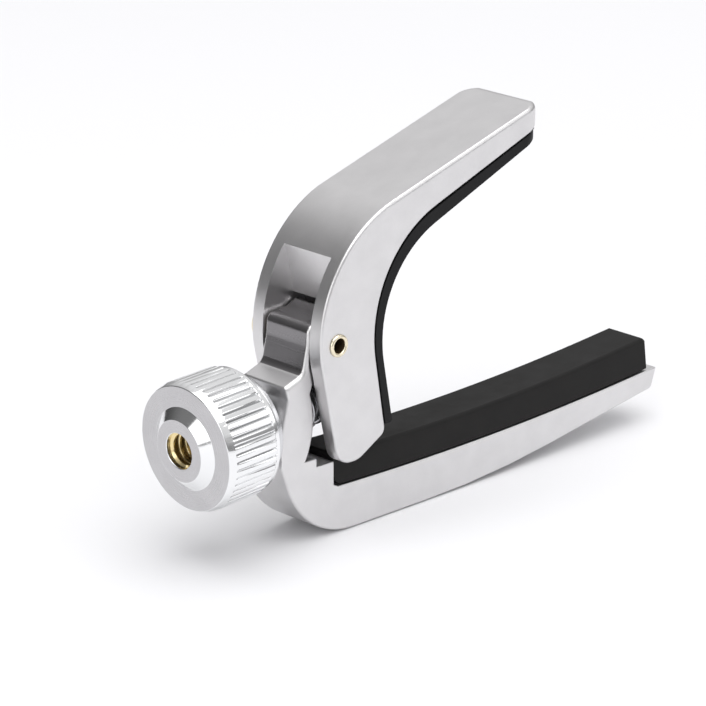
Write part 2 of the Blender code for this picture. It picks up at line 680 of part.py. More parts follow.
def make_knob(parts, cutters):
    """Turned body with a bevelled rim, a boss and a flange, joined with a fluted grip."""
    tip = KNOB_DIAMETER / 2
    root = tip - FLUTE_DEPTH
    bore = INSERT_RADIUS + RUNNING_GAP
    lip = THREAD_RADIUS - BOSS_HOLE_INSET
    shelf = BOSS_FACE + INSERT_LIP
    flange = KNOB_BACK - KNOB_FLANGE
    band = KNOB_FACE + KNOB_BAND
    profile = [
        (bore, KNOB_BACK),
        (tip - KNOB_FLANGE_INSET, KNOB_BACK),
        (tip - KNOB_FLANGE_INSET, flange),
        (root, flange - KNOB_FLANGE_STEP),
        (root, band + KNOB_BAND_STEP),
        (tip - KNOB_BAND_INSET, band),
        (root, KNOB_FACE),
        (BOSS_BASE_RADIUS, KNOB_FACE),
        (BOSS_TOP_RADIUS, BOSS_FACE),
        (lip, BOSS_FACE),
        (lip, shelf),
        (bore, shelf),
    ]
    knob = turned("knob", profile, parts, sides=KNOB_FLUTES)
    start = band - GRIP_OVERLAP
    end = flange + GRIP_OVERLAP
    grip = plate("knob_grip", flute_outline(tip, root + FLUTE_JOIN), end - start, cutters, plan=True)
    grip.location.z = (start + end) / 2
    core = rod("knob_grip_core", root - GRIP_WALL, end + OVERSHOOT, start - OVERSHOOT, cutters)
    combine(grip, core)
    combine(knob, grip, "UNION")
    return knob


def flute_outline(tip, floor):
    """Outline round the knob's axis, with a flat crest and a flat floor in each flute's pitch."""
    stations = [(0, tip), (FLUTE_CREST, tip), (FLUTE_FLOOR[0], floor), (FLUTE_FLOOR[1], floor)]
    outline = []
    for i in range(KNOB_FLUTES):
        for share, radius in stations:
            angle = 2 * math.pi * (i + share) / KNOB_FLUTES
            outline.append((radius * math.cos(angle), radius * math.sin(angle)))
    return outline


def make_insert(parts):
    front = BOSS_FACE + INSERT_LIP + CONTACT_GAP / 2
    bore = ROOT_RADIUS + RUNNING_GAP
    return sleeve("knob_insert", INSERT_RADIUS, bore, KNOB_BACK - INSERT_RECESS, front, parts, PIN_SIDES)


def make_swivel_washer(parts):
    """Washer with a ball-shaped nose that rocks in the spine's cup."""
    bore = BOLT_HOLE_RADIUS
    steps = 3
    radii = [bore + (SWIVEL_NOSE_RADIUS - bore) * i / steps for i in range(steps + 1)]
    nose = [(radius, math.sqrt(SWIVEL_RADIUS**2 - radius**2)) for radius in radii]
    profile = nose + [
        (SWIVEL_NOSE_RADIUS, SWIVEL_WASHER_FRONT),
        (SWIVEL_WASHER_RADIUS, SWIVEL_WASHER_FRONT),
        (SWIVEL_WASHER_RADIUS, SWIVEL_WASHER_END),
        (bore, SWIVEL_WASHER_END),
    ]
    return turned("swivel_washer", profile, parts)


def make_washers(parts):
    bore = BOLT_HOLE_RADIUS
    steel = sleeve(
        "knob_washer",
        KNOB_WASHER_RADIUS,
        bore,
        KNOB_WASHER_END + KNOB_WASHER_THICKNESS,
        KNOB_WASHER_END,
        parts,
    )
    ring = sleeve(
        "friction_ring",
        FRICTION_RING_RADIUS,
        bore,
        FRICTION_RING_END + FRICTION_RING_THICKNESS,
        FRICTION_RING_END,
        parts,
    )
    return steel, ring


def spring_washer_start():
    return SPINE_INSIDE - SPRING_POCKET + SPRING_WASHER_PLAY


def make_spring_washer(parts):
    start = spring_washer_start()
    top = start + SPRING_WASHER_THICKNESS
    bore = THREAD_RADIUS + RUNNING_GAP
    return sleeve("spring_washer", SPRING_OUTER, bore, top, start, parts, PIN_SIDES)


def make_spring(parts):
    """Coil between the spring washer and the bolt's collar, with a close turn at each end."""
    start = spring_washer_start() + SPRING_WASHER_THICKNESS + SPRING_WIRE / 2 + RUNNING_GAP
    end = COLLAR_START - SPRING_WIRE / 2 - RUNNING_GAP
    middle = (SPRING_INNER + SPRING_OUTER) / 2
    per_turn = 16
    close = 1.05 * SPRING_WIRE
    open_pitch = (end - start - 2 * close) / (SPRING_TURNS - 2)
    points = []
    for i in range(SPRING_TURNS * per_turn + 1):
        turn = i / per_turn
        rise = close * min(turn, 1)
        rise += open_pitch * min(max(turn - 1, 0), SPRING_TURNS - 2)
        rise += close * max(turn - SPRING_TURNS + 1, 0)
        angle = 2 * math.pi * turn
        points.append((middle * math.cos(angle), middle * math.sin(angle), start + rise))
    return wire("opening_spring", points, SPRING_WIRE / 2, parts)


def make_bolt(parts, cutters):
    """Threaded stud with a plain shank, a collar for the spring and a cross-drilled eye."""
    plain_start = SPINE_FACE + BOLT_PLAIN_START
    tip = SPINE_FACE - BOLT_END
    collar_end = COLLAR_START + COLLAR_THICKNESS
    profile = [
        (0, EYE_CENTRE - BOLT_PIN_DIAMETER),
        (THREAD_RADIUS, EYE_CENTRE - BOLT_PIN_DIAMETER),
        (THREAD_RADIUS, collar_end),
        (COLLAR_RADIUS, collar_end),
        (COLLAR_RADIUS, COLLAR_START),
        (THREAD_RADIUS, COLLAR_START),
        (THREAD_RADIUS, plain_start),
        (ROOT_RADIUS, plain_start - THREAD_DEPTH),
        (ROOT_RADIUS, tip + THREAD_DEPTH),
        (ROOT_RADIUS - THREAD_DEPTH, tip),
        (0, tip),
    ]
    bolt = turned("draw_bolt", profile, parts, PIN_SIDES, ring=False)
    eye = rod("bolt_eye", EYE_RADIUS, EYE_WIDTH / 2, -EYE_WIDTH / 2, cutters)
    hole_radius = BOLT_PIN_DIAMETER / 2 + 1.5 * RUNNING_GAP
    hole = rod("bolt_eye_hole", hole_radius, EYE_WIDTH, -EYE_WIDTH, cutters)
    for tool in (eye, hole):
        tool.rotation_euler.x = -math.pi / 2
        tool.location.z = EYE_CENTRE
    combine(bolt, eye, "UNION")
    combine(bolt, hole)
    return bolt


def make_bolt_pin(parts):
    half = SLOT_WIDTH / 2 + BOLT_PIN_GRIP
    pin = rod("bolt_pin", BOLT_PIN_DIAMETER / 2, half, -half, parts)
    pin.rotation_euler.x = -math.pi / 2
    pin.location = (EYE_X, 0, eye_centre_z())
    return pin


def make_materials():
    return {
        "cast": new_material("satin_aluminium", (0.72, 0.72, 0.74), 0.38, 1.0),
        "turned": new_material("bright_aluminium", (0.82, 0.82, 0.84), 0.22, 1.0),
        "steel": new_material("plated_steel", (0.62, 0.62, 0.64), 0.25, 1.0),
        "brass": new_material("brass", (0.80, 0.62, 0.30), 0.25, 1.0),
        "bronze": new_material("bronze", (0.62, 0.42, 0.22), 0.35, 1.0),
        "rubber": new_material("black_rubber", (0.02, 0.02, 0.022), 0.60, 0.0),
        "nylon": new_material("black_nylon", (0.03, 0.03, 0.03), 0.45, 0.0),
    }


def main():
    clear_scene()
    parts = new_collection("guitar_capo")
    cutters = new_collection("cutters", hidden=True)
    cast, bright, steel, brass, bronze, rubber, nylon = make_materials().values()
    pivot = new_axis("pivot_axis", (PIVOT_X, 0, PIVOT_HEIGHT))
    screw_place = (PIVOT_X + SWIVEL_X, 0, PIVOT_HEIGHT + SWIVEL_Z)
    screw = new_axis("screw_axis", screw_place, (0, math.pi / 2 - SCREW_TILT, 0))

    frame = make_frame(parts, cutters, screw, pivot)
    string_pad = make_string_pad(parts, cutters)
    arm = make_arm(parts, cutters)
    neck_pad = make_neck_pad(parts, cutters)
    rivet = make_rivet(parts)
    bush = make_bush(parts)
    bolt_pin = make_bolt_pin(parts)
    knob = make_knob(parts, cutters)
    insert = make_insert(parts)
    swivel_washer = make_swivel_washer(parts)
    knob_washer, friction_ring = make_washers(parts)
    spring_washer = make_spring_washer(parts)
    spring = make_spring(parts)
    bolt = make_bolt(parts, cutters)

    for obj in (rivet, bush):
        obj.rotation_euler.x = -math.pi / 2
    pivot_cutters = [c for c in cutters.objects if c.name.startswith(PIVOT_CUTTERS)]
    for obj in [arm, neck_pad, rivet, bush, bolt_pin] + pivot_cutters:
        obj.parent = pivot
    screw_cutters = [c for c in cutters.objects if c.name.startswith(SCREW_CUTTERS)]
    screw_pieces = [knob, insert, swivel_washer, knob_washer, friction_ring, spring_washer]
    for obj in screw_pieces + [spring, bolt] + screw_cutters:
        obj.parent = screw

    for obj in (frame, arm):
        finish(obj, cast)
    finish(knob, bright)
    for obj in (knob_washer, swivel_washer, spring_washer, spring, bolt, bolt_pin):
        finish(obj, steel)
    for obj in (insert, rivet):
        finish(obj, brass)
    finish(bush, bronze)
    for obj in (string_pad, neck_pad):
        finish(obj, rubber)
    finish(friction_ring, nylon)


main()
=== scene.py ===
"""Looks of a screw-drawn guitar capo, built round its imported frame.

Every size below is in millimetres, and the bench tools turn it into metres. Places called
"from the pivot" are x, z from the rivet's axis. Places called "along the screw" are measured
from the swivel centre, towards the arm's tail.
"""

import json
import logging
import math
from collections.abc import Callable
from dataclasses import dataclass, field
from enum import Enum

import bmesh
import bpy
from mathutils import Matrix, Vector


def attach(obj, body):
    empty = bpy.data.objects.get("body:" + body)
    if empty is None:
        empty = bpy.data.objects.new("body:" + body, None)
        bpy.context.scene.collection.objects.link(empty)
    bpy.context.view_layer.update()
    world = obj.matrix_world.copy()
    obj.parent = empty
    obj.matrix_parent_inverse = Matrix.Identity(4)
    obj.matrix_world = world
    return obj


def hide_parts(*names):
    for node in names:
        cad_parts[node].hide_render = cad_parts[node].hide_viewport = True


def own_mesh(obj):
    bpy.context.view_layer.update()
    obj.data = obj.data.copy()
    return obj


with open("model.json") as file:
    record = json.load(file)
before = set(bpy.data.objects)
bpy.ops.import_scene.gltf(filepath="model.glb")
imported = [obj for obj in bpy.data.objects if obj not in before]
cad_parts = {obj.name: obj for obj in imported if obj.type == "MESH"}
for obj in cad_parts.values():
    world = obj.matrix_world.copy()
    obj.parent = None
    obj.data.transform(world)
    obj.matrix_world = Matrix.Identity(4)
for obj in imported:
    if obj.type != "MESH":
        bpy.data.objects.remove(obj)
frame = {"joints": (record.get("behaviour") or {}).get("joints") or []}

MM = 0.001
WELD = 0.001  # points nearer than this are merged
TANGENT_SHARE = 0.9  # most of a short side that a corner's rounding may take
NOISE_SPAN = (0.3, 0.7)  # where most of a noise's values lie
TINT_SPAN = (0.32, 0.68)
TOOL_REACH = 9.0  # half length of a boring tool, past every piece's width
LOG = logging.getLogger("capo")

Corners = list[tuple[float, float, float]]
Profile = list[tuple[float, float]]
Piece = bpy.types.Object
Socket = bpy.types.NodeSocket


class Grain(Enum):
    """The marks that a surface's making leaves on it."""

    BLASTED = "blasted"
    BRUSHED = "brushed"
    TURNED = "turned"
    PLATED = "plated"


class Joining(Enum):
    """How one solid changes another."""

    CUT = "DIFFERENCE"
    WELD = "UNION"
    TRIM = "INTERSECT"


# ---------------------------------------------------------------- outlines


def arc_about(
    centre: Vector, radius: float, start: float, end: float, step: float = 6.0
) -> list[Vector]:
    """Points of an arc in a plane.

    Args:
        centre: the arc's centre.
        radius: its radius.
        start: its first angle, in degrees.
        end: its last angle, in degrees.
        step: the widest angle between two points, in degrees.

    Returns:
        The points, both ends included.
    """
    count = max(1, math.ceil(abs(end - start) / step))
    angles = [math.radians(start + (end - start) * i / count) for i in range(count + 1)]
    return [centre + radius * Vector((math.cos(a), math.sin(a))) for a in angles]


def corner_arc(before: Vector, here: Vector, after: Vector, radius: float, step: float) -> list[Vector]:
    """Points that round one corner of an outline.

    Args:
        before: the corner before it.
        here: the corner itself.
        after: the corner after it.
        radius: the radius asked for, which short sides limit.
        step: the widest angle between two points, in radians.

    Returns:
        The arc's points, or the corner alone where it is sharp.
    """
    back = before - here
    ahead = after - here
    half = back.angle(ahead) / 2
    turn = math.pi - 2 * half
    radius = min(radius, TANGENT_SHARE * min(back.length, ahead.length) * math.tan(half))
    if radius <= 0 or turn < 1e-4:
        return [here]
    middle = (back.normalized() + ahead.normalized()).normalized()
    centre = here + middle * radius / math.sin(half)
    start = here + back.normalized() * radius / math.tan(half) - centre
    side = math.copysign(1, back.cross(ahead))
    count = max(2, math.ceil(turn / step))
    return [centre + Matrix.Rotation(-side * turn * i / count, 2) @ start for i in range(count + 1)]


def rounded(corners: Corners, step: float = 5.0) -> list[Vector]:
    """Closed outline from corners given as two places and a radius.

    Args:
        corners: the outline's corners, in order.
        step: the widest angle between two points of an arc, in degrees.

    Returns:
        The outline's points.
    """
    outline = []
    for i, (x, z, radius) in enumerate(corners):
        before = Vector(corners[i - 1][:2])
        after = Vector(corners[(i + 1) % len(corners)][:2])
        outline += corner_arc(before, Vector((x, z)), after, radius, math.radians(step))
    return outline


def softened(profile: Profile, radius: float) -> Profile:
    """Closed turning profile with each of its off-axis corners rounded.

    Args:
        profile: radius and height of each corner.
        radius: the rounding of each corner.

    Returns:
        The rounded profile.
    """
    corners = [(r, z, radius if r > 0 else 0.0) for r, z in profile]
    return [(p.x, p.y) for p in rounded(corners, 22.5)]


# ---------------------------------------------------------------- bench tools


class Bench:
    """Tools that shape one piece at a time with Blender's own operators."""

    @staticmethod
    def free() -> None:
        """Puts everything down, so that the next operator acts on one piece alone."""
        if bpy.context.object and bpy.context.object.mode != "OBJECT":
            bpy.ops.object.mode_set(mode="OBJECT")
        bpy.ops.object.select_all(action="DESELECT")

    @staticmethod
    def hold(obj: Piece) -> None:
        """Makes one piece the only selected and active one."""
        Bench.free()
        obj.select_set(True)
        bpy.context.view_layer.objects.active = obj

    @staticmethod
    def draw(name: str, points: list[Vector], closed: bool = True) -> Piece:
        """Draws a chain of edges, by extruding one vertex from point to point.

        Args:
            name: the new piece's name.
            points: the chain's points, in millimetres.
            closed: whether the chain comes back to its start.

        Returns:
            The new object, in object mode.
        """
        route = [Vector(p) * MM for p in points]
        if closed:
            route.append(route[0])
        Bench.free()
        bpy.ops.mesh.primitive_plane_add(size=MM, location=route[0])
        obj = bpy.context.active_object
        obj.name = name
        obj.data.name = name
        bpy.ops.object.mode_set(mode="EDIT")
        bpy.ops.mesh.merge(type="CENTER")
        for here, there in zip(route, route[1:]):
            bpy.ops.mesh.extrude_region_move(TRANSFORM_OT_translate={"value": there - here})
        bpy.ops.mesh.select_all(action="SELECT")
        bpy.ops.mesh.remove_doubles(threshold=WELD * MM)
        bpy.ops.object.mode_set(mode="OBJECT")
        bpy.ops.object.transform_apply(location=True, rotation=True, scale=True)
        return obj

    @staticmethod
    def thicken(obj: Piece, move: tuple[float, float, float]) -> Piece:
        """Fills a closed chain, extrudes it by a move in metres and returns the solid."""
        bpy.ops.object.mode_set(mode="EDIT")
        bpy.ops.mesh.select_all(action="SELECT")
        bpy.ops.mesh.edge_face_add()
        bpy.ops.mesh.extrude_region_move(TRANSFORM_OT_translate={"value": move})
        Bench.close(obj)
        return obj

    @staticmethod
    def plate(name: str, outline: list[Vector], width: float) -> Piece:
        """Solid of an outline in the XZ plane, centred on Y = 0.

        Args:
            name: the piece's name.
            outline: the outline's points, as x and z.
            width: its width along Y.

        Returns:
            The closed solid.
        """
        obj = Bench.draw(name, [Vector((p.x, -width / 2, p.y)) for p in outline])
        return Bench.thicken(obj, (0, width * MM, 0))

    @staticmethod
    def slab(name: str, outline: list[Vector], low: float, high: float) -> Piece:
        """Solid of an outline in the XY plane, between two heights.

        Args:
            name: the piece's name.
            outline: the outline's points, as x and y.
            low: its lower height.
            high: its upper height.

        Returns:
            The closed solid.
        """
        obj = Bench.draw(name, [Vector((p.x, p.y, low)) for p in outline])
        return Bench.thicken(obj, (0, 0, (high - low) * MM))

    @staticmethod
    def turn(name: str, profile: Profile, steps: int) -> Piece:
        """Solid turned about Z.

        Args:
            name: the piece's name.
            profile: closed outline as radius and height. Points on the axis close the solid.
            steps: number of steps round it.

        Returns:
            The closed solid.
        """
        on_axis = [r == 0 for r, _ in profile]
        start = next((i for i in range(len(profile)) if on_axis[i] and on_axis[i - 1]), None)
        ring = start is None
        if not ring:
            profile = profile[start:] + profile[:start]
        obj = Bench.draw(name, [Vector((r, 0, z)) for r, z in profile], closed=ring)
        bpy.ops.object.mode_set(mode="EDIT")
        bpy.ops.mesh.select_all(action="SELECT")
        bpy.ops.mesh.spin(steps=steps, angle=2 * math.pi, center=(0, 0, 0), axis=(0, 0, 1))
        Bench.close(obj)
        return obj

    @staticmethod
    def rod(name: str, radius: float, steps: int) -> Piece:
        """Long plain bar along Z, centred on the origin, to bore with."""
        ends = [(0, TOOL_REACH), (radius, TOOL_REACH), (radius, -TOOL_REACH), (0, -TOOL_REACH)]
        return Bench.turn(name, ends, steps)

    @staticmethod
    def bore(obj: Piece, radius: float, steps: int, place: Matrix) -> None:
        """Bores a round hole right through a piece, along Z of a place."""
        tool = Bench.rod("bore_tool", radius, steps)
        Bench.place(tool, place)
        Bench.join(obj, tool, Joining.CUT)

    @staticmethod
    def close(obj: Piece) -> None:
        """Merges doubled points, turns every face outwards and leaves edit mode."""
        bpy.ops.mesh.select_all(action="SELECT")
        bpy.ops.mesh.remove_doubles(threshold=WELD * MM)
        bpy.ops.mesh.normals_make_consistent(inside=False)
        bpy.ops.object.mode_set(mode="OBJECT")

    @staticmethod
    def bevel_edges(
        obj: Piece,
        wanted: Callable[[bmesh.types.BMEdge], bool],
        width: float,
        segments: int,
    ) -> None:
        """Rounds the edges that a test picks.

        Args:
            obj: the piece.
            wanted: says whether an edge is rounded.
            width: the rounding's width.
            segments: number of faces across it.
        """
        Bench.hold(obj)
        bpy.ops.object.mode_set(mode="EDIT")
        bpy.ops.mesh.select_mode(type="EDGE")
        bpy.ops.mesh.select_all(action="DESELECT")
        body = bmesh.from_edit_mesh(obj.data)
        for edge in filter(wanted, body.edges):
            edge.select_set(True)
        bmesh.update_edit_mesh(obj.data)
        bpy.ops.mesh.bevel(offset=width * MM, segments=segments, affect="EDGES")
        bpy.ops.mesh.select_mode(type="VERT")
        Bench.close(obj)

    @staticmethod
    def apply(obj: Piece, kind: str, **settings: object) -> None:
        """Adds a modifier, sets it up and applies it.

        Args:
            obj: the piece.
            kind: the modifier's type.
            **settings: its settings by name.
        """
        Bench.hold(obj)
        modifier = obj.modifiers.new(kind.title(), kind)
        for name, value in settings.items():
            setattr(modifier, name, value)
        bpy.ops.object.modifier_apply(modifier=modifier.name)

    @staticmethod
    def join(obj: Piece, tool: Piece, how: Joining) -> None:
        """Cuts, welds or trims a piece with another solid, which is used up."""
        Bench.apply(obj, "BOOLEAN", operation=how.value, solver="EXACT", object=tool)
        bpy.data.objects.remove(tool, do_unlink=True)

    @staticmethod
    def round_rims(obj: Piece, width: float, segments: int = 3, angle: float = 40.0) -> None:
        """Rounds every edge that turns by more than an angle."""
        Bench.apply(
            obj,
            "BEVEL",
            width=width * MM,
            segments=segments,
            limit_method="ANGLE",
            angle_limit=math.radians(angle),
        )

    @staticmethod
    def round_by_place(
        obj: Piece,
        width_at: Callable[[Vector], float],
        most: float,
        segments: int,
        angle: float = 40.0,
    ) -> None:
        """Rounds every edge that turns by more than an angle, wider in some places.

        Args:
            obj: the piece.
            width_at: gives the rounding's width from an edge's middle in millimetres.
            most: the widest rounding.
            segments: number of faces across it.
            angle: edges that turn by less than this stay, in degrees.
        """
        body = bmesh.new()
        body.from_mesh(obj.data)
        weights = body.edges.layers.float.new("bevel_weight_edge")
        for edge in body.edges:
            middle = (edge.verts[0].co + edge.verts[1].co) / 2 / MM
            if abs(edge.calc_face_angle_signed(0)) > math.radians(angle) and edge.is_convex:
                edge[weights] = min(1.0, width_at(middle) / most)
        body.to_mesh(obj.data)
        body.free()
        Bench.apply(
            obj,
            "BEVEL",
            width=most * MM,
            segments=segments,
            limit_method="WEIGHT",
            use_clamp_overlap=False,
        )

    @staticmethod
    def place(obj: Piece, matrix: Matrix) -> None:
        """Moves a piece to its place and keeps the place in its mesh."""
        Bench.hold(obj)
        obj.matrix_world = matrix
        bpy.ops.object.transform_apply(location=True, rotation=True, scale=True)

    @staticmethod
    def smooth(obj: Piece, angle: float = 32.0, flat_sides: bool = False) -> None:
        """Shades a piece smooth, with its sharp edges kept.

        Args:
            obj: the piece.
            angle: edges sharper than this stay sharp, in degrees.
            flat_sides: whether large faces keep their own normal.
        """
        Bench.hold(obj)
        bpy.ops.object.shade_smooth_by_angle(angle=math.radians(angle))
        if flat_sides:
            Bench.apply(obj, "WEIGHTED_NORMAL", keep_sharp=True, weight=90)

    @staticmethod
    def coil(name: str, section: list[Vector], pitch: float, turns: int, steps: int) -> Piece:
        """Closed solid of a section swept along a right-hand helix about Z.

        Args:
            name: the piece's name.
            section: the section's points, as radius and height.
            pitch: the rise of one turn.
            turns: number of turns.
            steps: number of steps in a turn.

        Returns:
            The closed solid.
        """
        obj = Bench.draw(name, [Vector((p.x, 0, p.y)) for p in section])
        Bench.apply(
            obj,
            "SCREW",
            screw_offset=pitch * MM,
            iterations=turns,
            steps=steps,
            render_steps=steps,
            use_merge_vertices=False,
        )
        bpy.ops.object.mode_set(mode="EDIT")
        bpy.ops.mesh.select_all(action="SELECT")
        bpy.ops.mesh.remove_doubles(threshold=WELD * MM)
        bpy.ops.mesh.fill_holes(sides=0)
        Bench.close(obj)
        return obj


# ---------------------------------------------------------------- finishes


class Graph:
    """The shader nodes of one material."""

    def __init__(self, name: str) -> None:
        """Starts a material with its one principled shader."""
        self.material = bpy.data.materials.new(name)
        self.material.use_nodes = True
        self.tree = self.material.node_tree
        self.shader = self.tree.nodes["Principled BSDF"]

    def node(self, kind: str, **settings: object) -> bpy.types.Node:
        """Adds a node and sets its properties."""
        made = self.tree.nodes.new(kind)
        for name, value in settings.items():
            setattr(made, name, value)
        return made

    def link(self, source: Socket, target: Socket) -> None:
        """Joins two sockets."""
        self.tree.links.new(source, target)

    def set(self, **values: object) -> None:
        """Sets sockets of the shader, with _ for a space in the name."""
        for name, value in values.items():
            socket = name.replace("_", " ").title().replace("Ior", "IOR")
            self.shader.inputs[socket].default_value = value

    def coordinates(self, place: Matrix, scale: tuple[float, ...] = (1, 1, 1)) -> Socket:
        """Object coordinates, as seen from a place and direction on the piece.

        Args:
            place: the frame that the pattern belongs to, in the row frame.
            scale: stretch along each axis of that frame.

        Returns:
            The socket that carries them.
        """
        source = self.node("ShaderNodeTexCoord").outputs["Object"]
        mapping = self.node("ShaderNodeMapping", vector_type="TEXTURE")
        mapping.inputs["Location"].default_value = place.to_translation()
        mapping.inputs["Rotation"].default_value = place.to_euler()
        mapping.inputs["Scale"].default_value = scale
        self.link(source, mapping.inputs["Vector"])
        return mapping.outputs["Vector"]

    def noise(self, vector: Socket, size: float, detail: float = 3.0) -> Socket:
        """Noise whose grains are about size millimetres across."""
        made = self.node("ShaderNodeTexNoise")
        made.inputs["Scale"].default_value = 1 / (size * MM)
        made.inputs["Detail"].default_value = detail
        self.link(vector, made.inputs["Vector"])
        return made.outputs["Fac"]

    def spread(self, value: Socket, low: float, high: float) -> Socket:
        """Noise stretched over a range of values."""
        made = self.node("ShaderNodeMapRange")
        made.inputs["From Min"].default_value, made.inputs["From Max"].default_value = NOISE_SPAN
        made.inputs["To Min"].default_value = low
        made.inputs["To Max"].default_value = high
        self.link(value, made.inputs["Value"])
        return made.outputs["Result"]

    def tint(
        self,
        share: Socket,
        first: tuple[float, ...],
        second: tuple[float, ...],
    ) -> None:
        """Mixes the base colour from two, by a pattern."""
        ramp = self.node("ShaderNodeValToRGB")
        for step, at, colour in zip(ramp.color_ramp.elements, TINT_SPAN, (first, second)):
            step.position = at
            step.color = (*colour, 1)
        self.link(share, ramp.inputs["Fac"])
        self.link(ramp.outputs["Color"], self.shader.inputs["Base Color"])

    def bump(
        self, height: Socket, depth: float, before: bpy.types.Node | None = None
    ) -> bpy.types.Node:
        """Adds a bump of a real depth in millimetres, on top of an earlier one.

        Args:
            height: the pattern.
            depth: height of the pattern from 0 to 1.
            before: an earlier bump node, or none.

        Returns:
            The bump node, whose normal the shader now uses.
        """
        made = self.node("ShaderNodeBump")
        made.inputs["Strength"].default_value = 1.0
        made.inputs["Distance"].default_value = depth * MM
        self.link(height, made.inputs["Height"])
        if before:
            self.link(before.outputs["Normal"], made.inputs["Normal"])
        self.link(made.outputs["Normal"], self.shader.inputs["Normal"])
        return made


@dataclass(frozen=True)
class Metal:
    """A bare or plated metal surface."""

    name: str
    colour: tuple[float, float, float]
    roughness: float
    grain: Grain
    depth: float = 0.004
    grain_size: float = 0.22
    mottle: float = 0.06

    def make(self, place: Matrix = Matrix.Identity(4)) -> bpy.types.Material:
        """Builds the finish.

        Args:
            place: the frame of a turned or brushed grain. Turning goes round its Z axis.

        Returns:
            The material.
        """
        graph = Graph(self.name)
        graph.set(metallic=1.0)
        stretch = {Grain.BRUSHED: (1, 60, 1)}.get(self.grain, (1, 1, 1))
        plain = graph.coordinates(place)
        cloud = graph.noise(plain, 3.2, 5.0)
        dark = tuple(c * (1 - self.mottle) for c in self.colour)
        graph.tint(cloud, dark, self.colour)
        if self.grain is Grain.TURNED:
            fine = self.rings(graph, plain)
        else:
            fine = graph.noise(graph.coordinates(place, stretch), self.grain_size, 2.0)
        rough = graph.spread(fine, self.roughness * 0.88, self.roughness * 1.12)
        graph.link(rough, graph.shader.inputs["Roughness"])
        waves = graph.bump(cloud, self.depth * 1.5)
        graph.bump(fine, self.depth, waves)
        return graph.material

    def rings(self, graph: Graph, vector: Socket) -> Socket:
        """Fine rings round the Z axis of the pattern's frame, as a lathe tool leaves."""
        flat = graph.node("ShaderNodeVectorMath", operation="MULTIPLY")
        flat.inputs[1].default_value = (1, 1, 0)
        graph.link(vector, flat.inputs[0])
        length = graph.node("ShaderNodeVectorMath", operation="LENGTH")
        graph.link(flat.outputs["Vector"], length.inputs[0])
        made = graph.node("ShaderNodeTexNoise", noise_dimensions="1D")
        made.inputs["Scale"].default_value = 1 / (self.grain_size * MM)
        made.inputs["Detail"].default_value = 2.0
        graph.link(length.outputs["Value"], made.inputs["W"])
        return made.outputs["Fac"]


@dataclass(frozen=True)
class Rubber:
    """Moulded black rubber or nylon, with a fine skin and a little bloom."""

    name: str
    colour: tuple[float, float, float]
    bloom: tuple[float, float, float]
    roughness: float
    gloss: float = 0.16
    depth: float = 0.006

    def make(self) -> bpy.types.Material:
        """Builds the finish and returns its material."""
        graph = Graph(self.name)
        graph.set(specular_ior_level=self.gloss)
        plain = graph.coordinates(Matrix.Identity(4))
        cloud = graph.noise(plain, 4.0, 6.0)
        fine = graph.noise(plain, 0.3, 3.0)
        graph.tint(cloud, self.colour, self.bloom)
        rough = graph.spread(cloud, self.roughness * 0.85, self.roughness * 1.15)
        graph.link(rough, graph.shader.inputs["Roughness"])
        waves = graph.bump(cloud, self.depth * 4)
        graph.bump(fine, self.depth, waves)
        return graph.material


CAST = Metal("satin_cast", (0.72, 0.712, 0.716), 0.36, Grain.BLASTED, depth=0.0045)
# The brushed finish has a real brushed grain. Its colour, far darker than the cast metal's, is painted shade
# that stands in for the dark reflection on the lug front.
BRUSHED = Metal("brushed_cast_painted_shade", (0.27, 0.262, 0.27), 0.30, Grain.BRUSHED, depth=0.004, grain_size=0.12)
CHROME = Metal("bright_plate", (0.88, 0.885, 0.89), 0.12, Grain.PLATED, depth=0.0006, mottle=0.02)
SATIN_TURNED = Metal("satin_turned", (0.56, 0.552, 0.562), 0.27, Grain.TURNED, depth=0.0016, grain_size=0.09)
BRASS = Metal("cut_brass", (0.86, 0.70, 0.38), 0.20, Grain.TURNED, depth=0.001, grain_size=0.1)
NICKEL = Metal("rivet_nickel", (0.86, 0.78, 0.60), 0.22, Grain.PLATED, depth=0.0015)
RIVET_BORE = Metal("rivet_bore", (0.20, 0.14, 0.08), 0.5, Grain.BLASTED, depth=0.004)
BRONZE = Metal("sleeve_bronze", (0.60, 0.40, 0.22), 0.35, Grain.TURNED, depth=0.001)
STEEL = Metal("bright_steel", (0.66, 0.665, 0.68), 0.24, Grain.TURNED, depth=0.001, grain_size=0.12)
SPRING_STEEL = Metal("spring_steel", (0.60, 0.60, 0.62), 0.22, Grain.PLATED, depth=0.001)
RUBBER = Rubber("black_rubber", (0.009, 0.0085, 0.0085), (0.014, 0.0135, 0.013), 0.5)
LINER = Rubber("black_liner", (0.007, 0.007, 0.008), (0.012, 0.012, 0.0125), 0.55)
NYLON = Rubber("black_nylon", (0.012, 0.012, 0.012), (0.02, 0.02, 0.02), 0.36, depth=0.002)


def dress(obj: Piece, *materials: bpy.types.Material) -> None:
    """Gives a piece its materials, the first of them on every face."""
    obj.data.materials.clear()
    for material in materials:
        obj.data.materials.append(material)
    obj.data.polygons.foreach_set("material_index", [0] * len(obj.data.polygons))


def dress_faces(obj: Piece, index: int, wanted: Callable[[Vector, Vector], bool]) -> None:
    """Gives the faces that a test picks another of the piece's materials.

    Args:
        obj: the piece.
        index: the material's number on the piece.
        wanted: says, from a face's middle in millimetres and its normal, whether it is one.
    """
    for face in obj.data.polygons:
        if wanted(face.center / MM, face.normal):
            face.material_index = index


# ---------------------------------------------------------------- where things are


